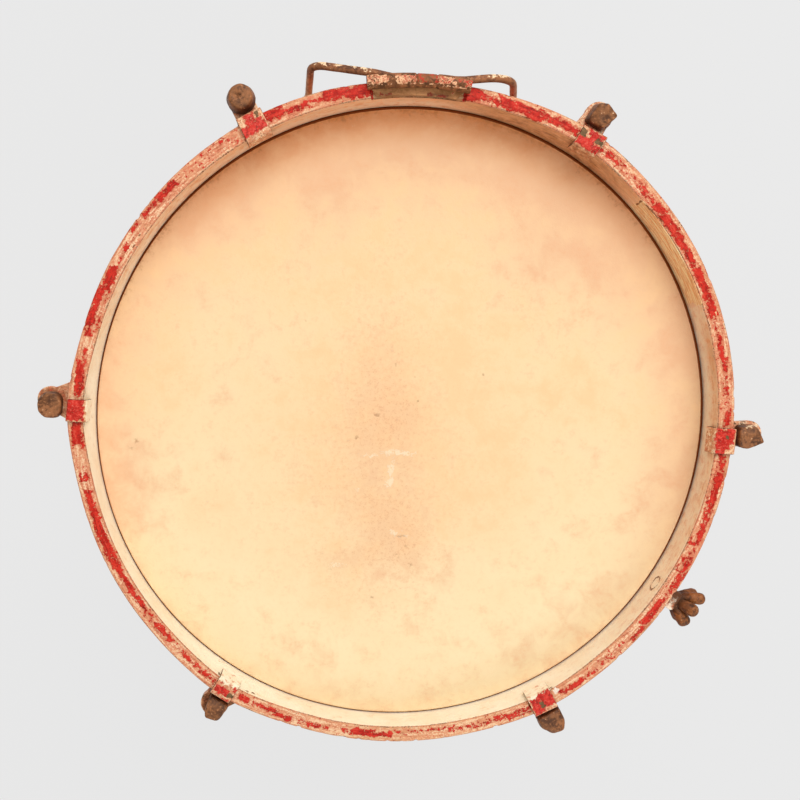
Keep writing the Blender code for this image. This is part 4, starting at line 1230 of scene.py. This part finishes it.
def build_strainer(look):
    """The strainer's block, with worn corners."""
    deep, low, high = 7.7, -29.0, -10.5
    outline, _ = bent_path([(0.3, -6.4), (deep, -6.4), (deep, 5.4), (0.3, 5.4)], (1.6, 1.6), 0.8)
    ends = [(3, low), (0.6, low), (0, low + 0.6)], [(0, high - 0.6), (0.6, high), (3, high)]
    rings = []
    for inset, z in [*ends[0], (0, -25), (0, -20), *ends[1]]:
        shrunk = outline * [1, 1 - inset / 10]
        shrunk[:, 0] = np.minimum(shrunk[:, 0], deep - 0.6 * inset / 3)
        rings.append(np.column_stack([shrunk, np.full(len(shrunk), float(z))]))
    points = np.concatenate(rings)
    wobble = noise(points[:, 1] / 4 + 30, points[:, 2] / 4 + 60, 160)
    greasy = smooth(0.1, 0.9, points[:, 1] + 0.64 * points[:, 0] + 0.3 * wobble)
    levels = {
        "red": 0 * wobble,
        "bare": 0.1 + 0.2 * wobble,
        "pale": 0.9 + 0.2 * wobble,
        "inside": 1 + 0 * wobble,
        "brown": 0.25 + 0.7 * greasy,
        "grime_and_shade": 0.2 + 0.2 * wobble + 0.6 * greasy,
    }
    moved = turned_to(points, SCREW_DEGREES, STRAINER_REACH)
    faces = ring_faces(len(rings), len(outline))
    return mesh_piece("snare_strainer_block", moved, faces, look, "snare_strainer", levels)


# The thumbscrew's shank and hub, as (radius, how far out)
HUB = [
    (0.1, 0.4), (4.4, 0.4), (4.6, 3), (4.9, 6), (5.6, 8.5), (5.9, 10.5), (4.8, 12), (2.2, 12.4),
    (0.1, 12.4),
]
# The thumbscrew's prongs: degrees round from the top toward the left, and how far along and away
# from the screw's axis each tip is
PRONGS = [
    (4, 16.6, 9.6), (62, 18.4, 9.8), (120, 17.6, 9.4), (180, 17.6, 9.2), (240, 17.8, 7.4),
    (302, 18.2, 8.5),
]
# How far the screw's axis is below the rim
SCREW_DROP = 18.0


def prong_part(degrees, ahead, spread):
    """One prong, from the hub to its round end."""
    spokes, root_girth = 24, 2.7
    turn = math.radians(degrees)
    outward = np.array([0.0, math.sin(turn), math.cos(turn)])
    root, tip = np.array([8.0, 0, 0]) + outward * 2.2, np.array([ahead, 0, 0]) + outward * spread
    run = np.linspace(0, 1, 26)
    end = 3.7 + 0.15 * math.sin(turn * 5)
    cap = np.radians(np.linspace(6, 88, 12))
    forward = (tip - root) / np.linalg.norm(tip - root)
    rounding = tip + forward * 0.92 * end * np.sin(cap)[:, None]
    path = np.concatenate([root + (tip - root) * run[:, None], rounding])
    taper = root_girth + (end - root_girth) * smooth(0.15, 0.8, run)
    girth = np.concatenate([taper, end * np.cos(cap) ** 0.8])
    ring, faces = swept(path, np.tile([1.0, 0.0, 0.0], (len(path), 1)), circle(1.0, spokes))
    centre = np.repeat(path, spokes, 0)
    return centre + (ring - centre) * np.repeat(girth, spokes)[:, None], faces, {}


def build_thumbscrew(look):
    """The thumbscrew: shank, hub and a crown of round-ended prongs, with +X along its axis."""
    around = np.radians(np.arange(0, 360, 10.0))
    rings = [np.stack([x + 0 * around, r * np.cos(around), r * np.sin(around)], 1) for r, x in HUB]
    body = np.concatenate(rings)
    parts = [(body, ring_faces(len(HUB), len(around)), {})] + [prong_part(*prong) for prong in PRONGS]
    points, faces, _ = joined(parts)
    x, y, z = points.T.copy()
    broad = noise(y / 3 + 30, z / 3 + x / 3 + 60, 170)
    wobble = broad + 0.5 * noise(y / 1.2 + 30, z / 1.2 + x / 1.2 + 60, 171)
    points[:, 1:] *= (1 + 0.02 * wobble)[:, None]
    points[:, 2] -= SCREW_DROP
    # Painted shade: darker in the creases where the prongs meet the hub, and over the hub.
    grime_and_shade = 0.6 * (1 - smooth(5.5, 9.0, np.hypot(y, z) + 0.3 * (x - 12)))
    moved = turned_to(points, SCREW_DEGREES, STRAINER_REACH)
    levels = {"cream": 0 * grime_and_shade, "grime_and_shade": grime_and_shade}
    name = "snare_thumbscrew"
    return mesh_piece(name + "_iron", moved, faces, look, name, levels, body="snare_screw")


def build_stage():
    """A pale floor, soft lights and the camera."""
    bpy.ops.mesh.primitive_plane_add(size=12)
    floor = bpy.context.object
    floor.name = "floor"
    look = Look("floor", roughness=0.9, specular=0.1)
    glow = look.shader.inputs
    glow["Base Color"].default_value = (0.08, 0.08, 0.08, 1)
    glow["Emission Color"].default_value = (1, 1, 1, 1)
    glow["Emission Strength"].default_value = 0.725
    floor.data.materials.append(look.material)
    scene = bpy.context.scene
    world = bpy.data.worlds.new("studio")
    world.use_nodes = True
    world.node_tree.nodes["Background"].inputs["Color"].default_value = (1, 1, 1, 1)
    world.node_tree.nodes["Background"].inputs["Strength"].default_value = 0.52
    scene.world = world
    lights = (
        # name, size, power, azimuth, elevation, distance
        ("key", 1.5, 23, 80, 46, 1.8),
        ("fill", 1.6, 12, 295, 38, 2.0),
        ("overhead", 1.6, 5, 80, 85, 2.2),
    )
    aim = Vector((*AXIS, RIM))
    for name, size, power, azimuth, elevation, distance in lights:
        data = bpy.data.lights.new(name, "AREA")
        data.shape, data.size, data.energy = "DISK", size, power
        light = bpy.data.objects.new(name, data)
        a, e = math.radians(azimuth), math.radians(elevation)
        toward = Vector((math.cos(a) * math.cos(e), math.sin(a) * math.cos(e), math.sin(e)))
        light.location = aim + toward * distance
        light.rotation_euler = (aim - light.location).to_track_quat("-Z", "Y").to_euler()
        scene.collection.objects.link(light)
    data = bpy.data.cameras.new("camera")
    data.lens, data.sensor_width = 41.66, 36
    data.shift_x, data.shift_y = 0.1073, 0.0671
    data.clip_start, data.clip_end = 0.01, 20
    camera = bpy.data.objects.new("camera", data)
    # Nearly straight above the drum, a little to its left and back
    camera.location = (AXIS[0] - 51.99 * MM, AXIS[1] + 44.64 * MM, RIM + 520.31 * MM)
    camera.rotation_euler = (math.radians(-7.0), 0, math.radians(2.84))
    scene.collection.objects.link(camera)
    scene.camera = camera
    scene.view_settings.view_transform = "Standard"


def main():
    build_stage()
    rim_paint, skin, claw_paint = rim_look(), skin_look(), claw_look()
    rust = rust_look("rust", (88, 52, 28), (144, 92, 54), (166, 106, 64))
    dark_rust = rust_look("dark_rust", (78, 44, 22), (130, 78, 42), (164, 98, 48))
    build_hoop("upper_hoop", rim_paint, RIM, False, 1600, 1.0)
    build_hoop("lower_hoop", rim_paint, LOWER_RIM, True, 720, 1.4)
    upper_skin, lower_skin = RIM - HEAD_DROP * MM, LOWER_RIM + HEAD_DROP * MM
    build_head("upper_head", skin, upper_skin, False, 540)
    build_head("lower_head", skin, lower_skin, True, 240)
    build_shell(shell_look())
    for number, degrees in enumerate(CLAW_DEGREES, 1):
        build_claw(number, degrees, claw_paint, True)
        build_claw(number, degrees, claw_paint, False)
        build_rod(number, degrees, rust)
    build_bail(rust_look("flecked_wire", (96, 52, 26), (150, 92, 54), (176, 112, 70)))
    build_bracket(bracket_look())
    build_strainer(claw_paint)
    build_thumbscrew(dark_rust)
    bare_wood = wood_look()
    build_flesh_hoop("upper_flesh_hoop", bare_wood, upper_skin, False)
    build_flesh_hoop("lower_flesh_hoop", bare_wood, lower_skin, True)


main()
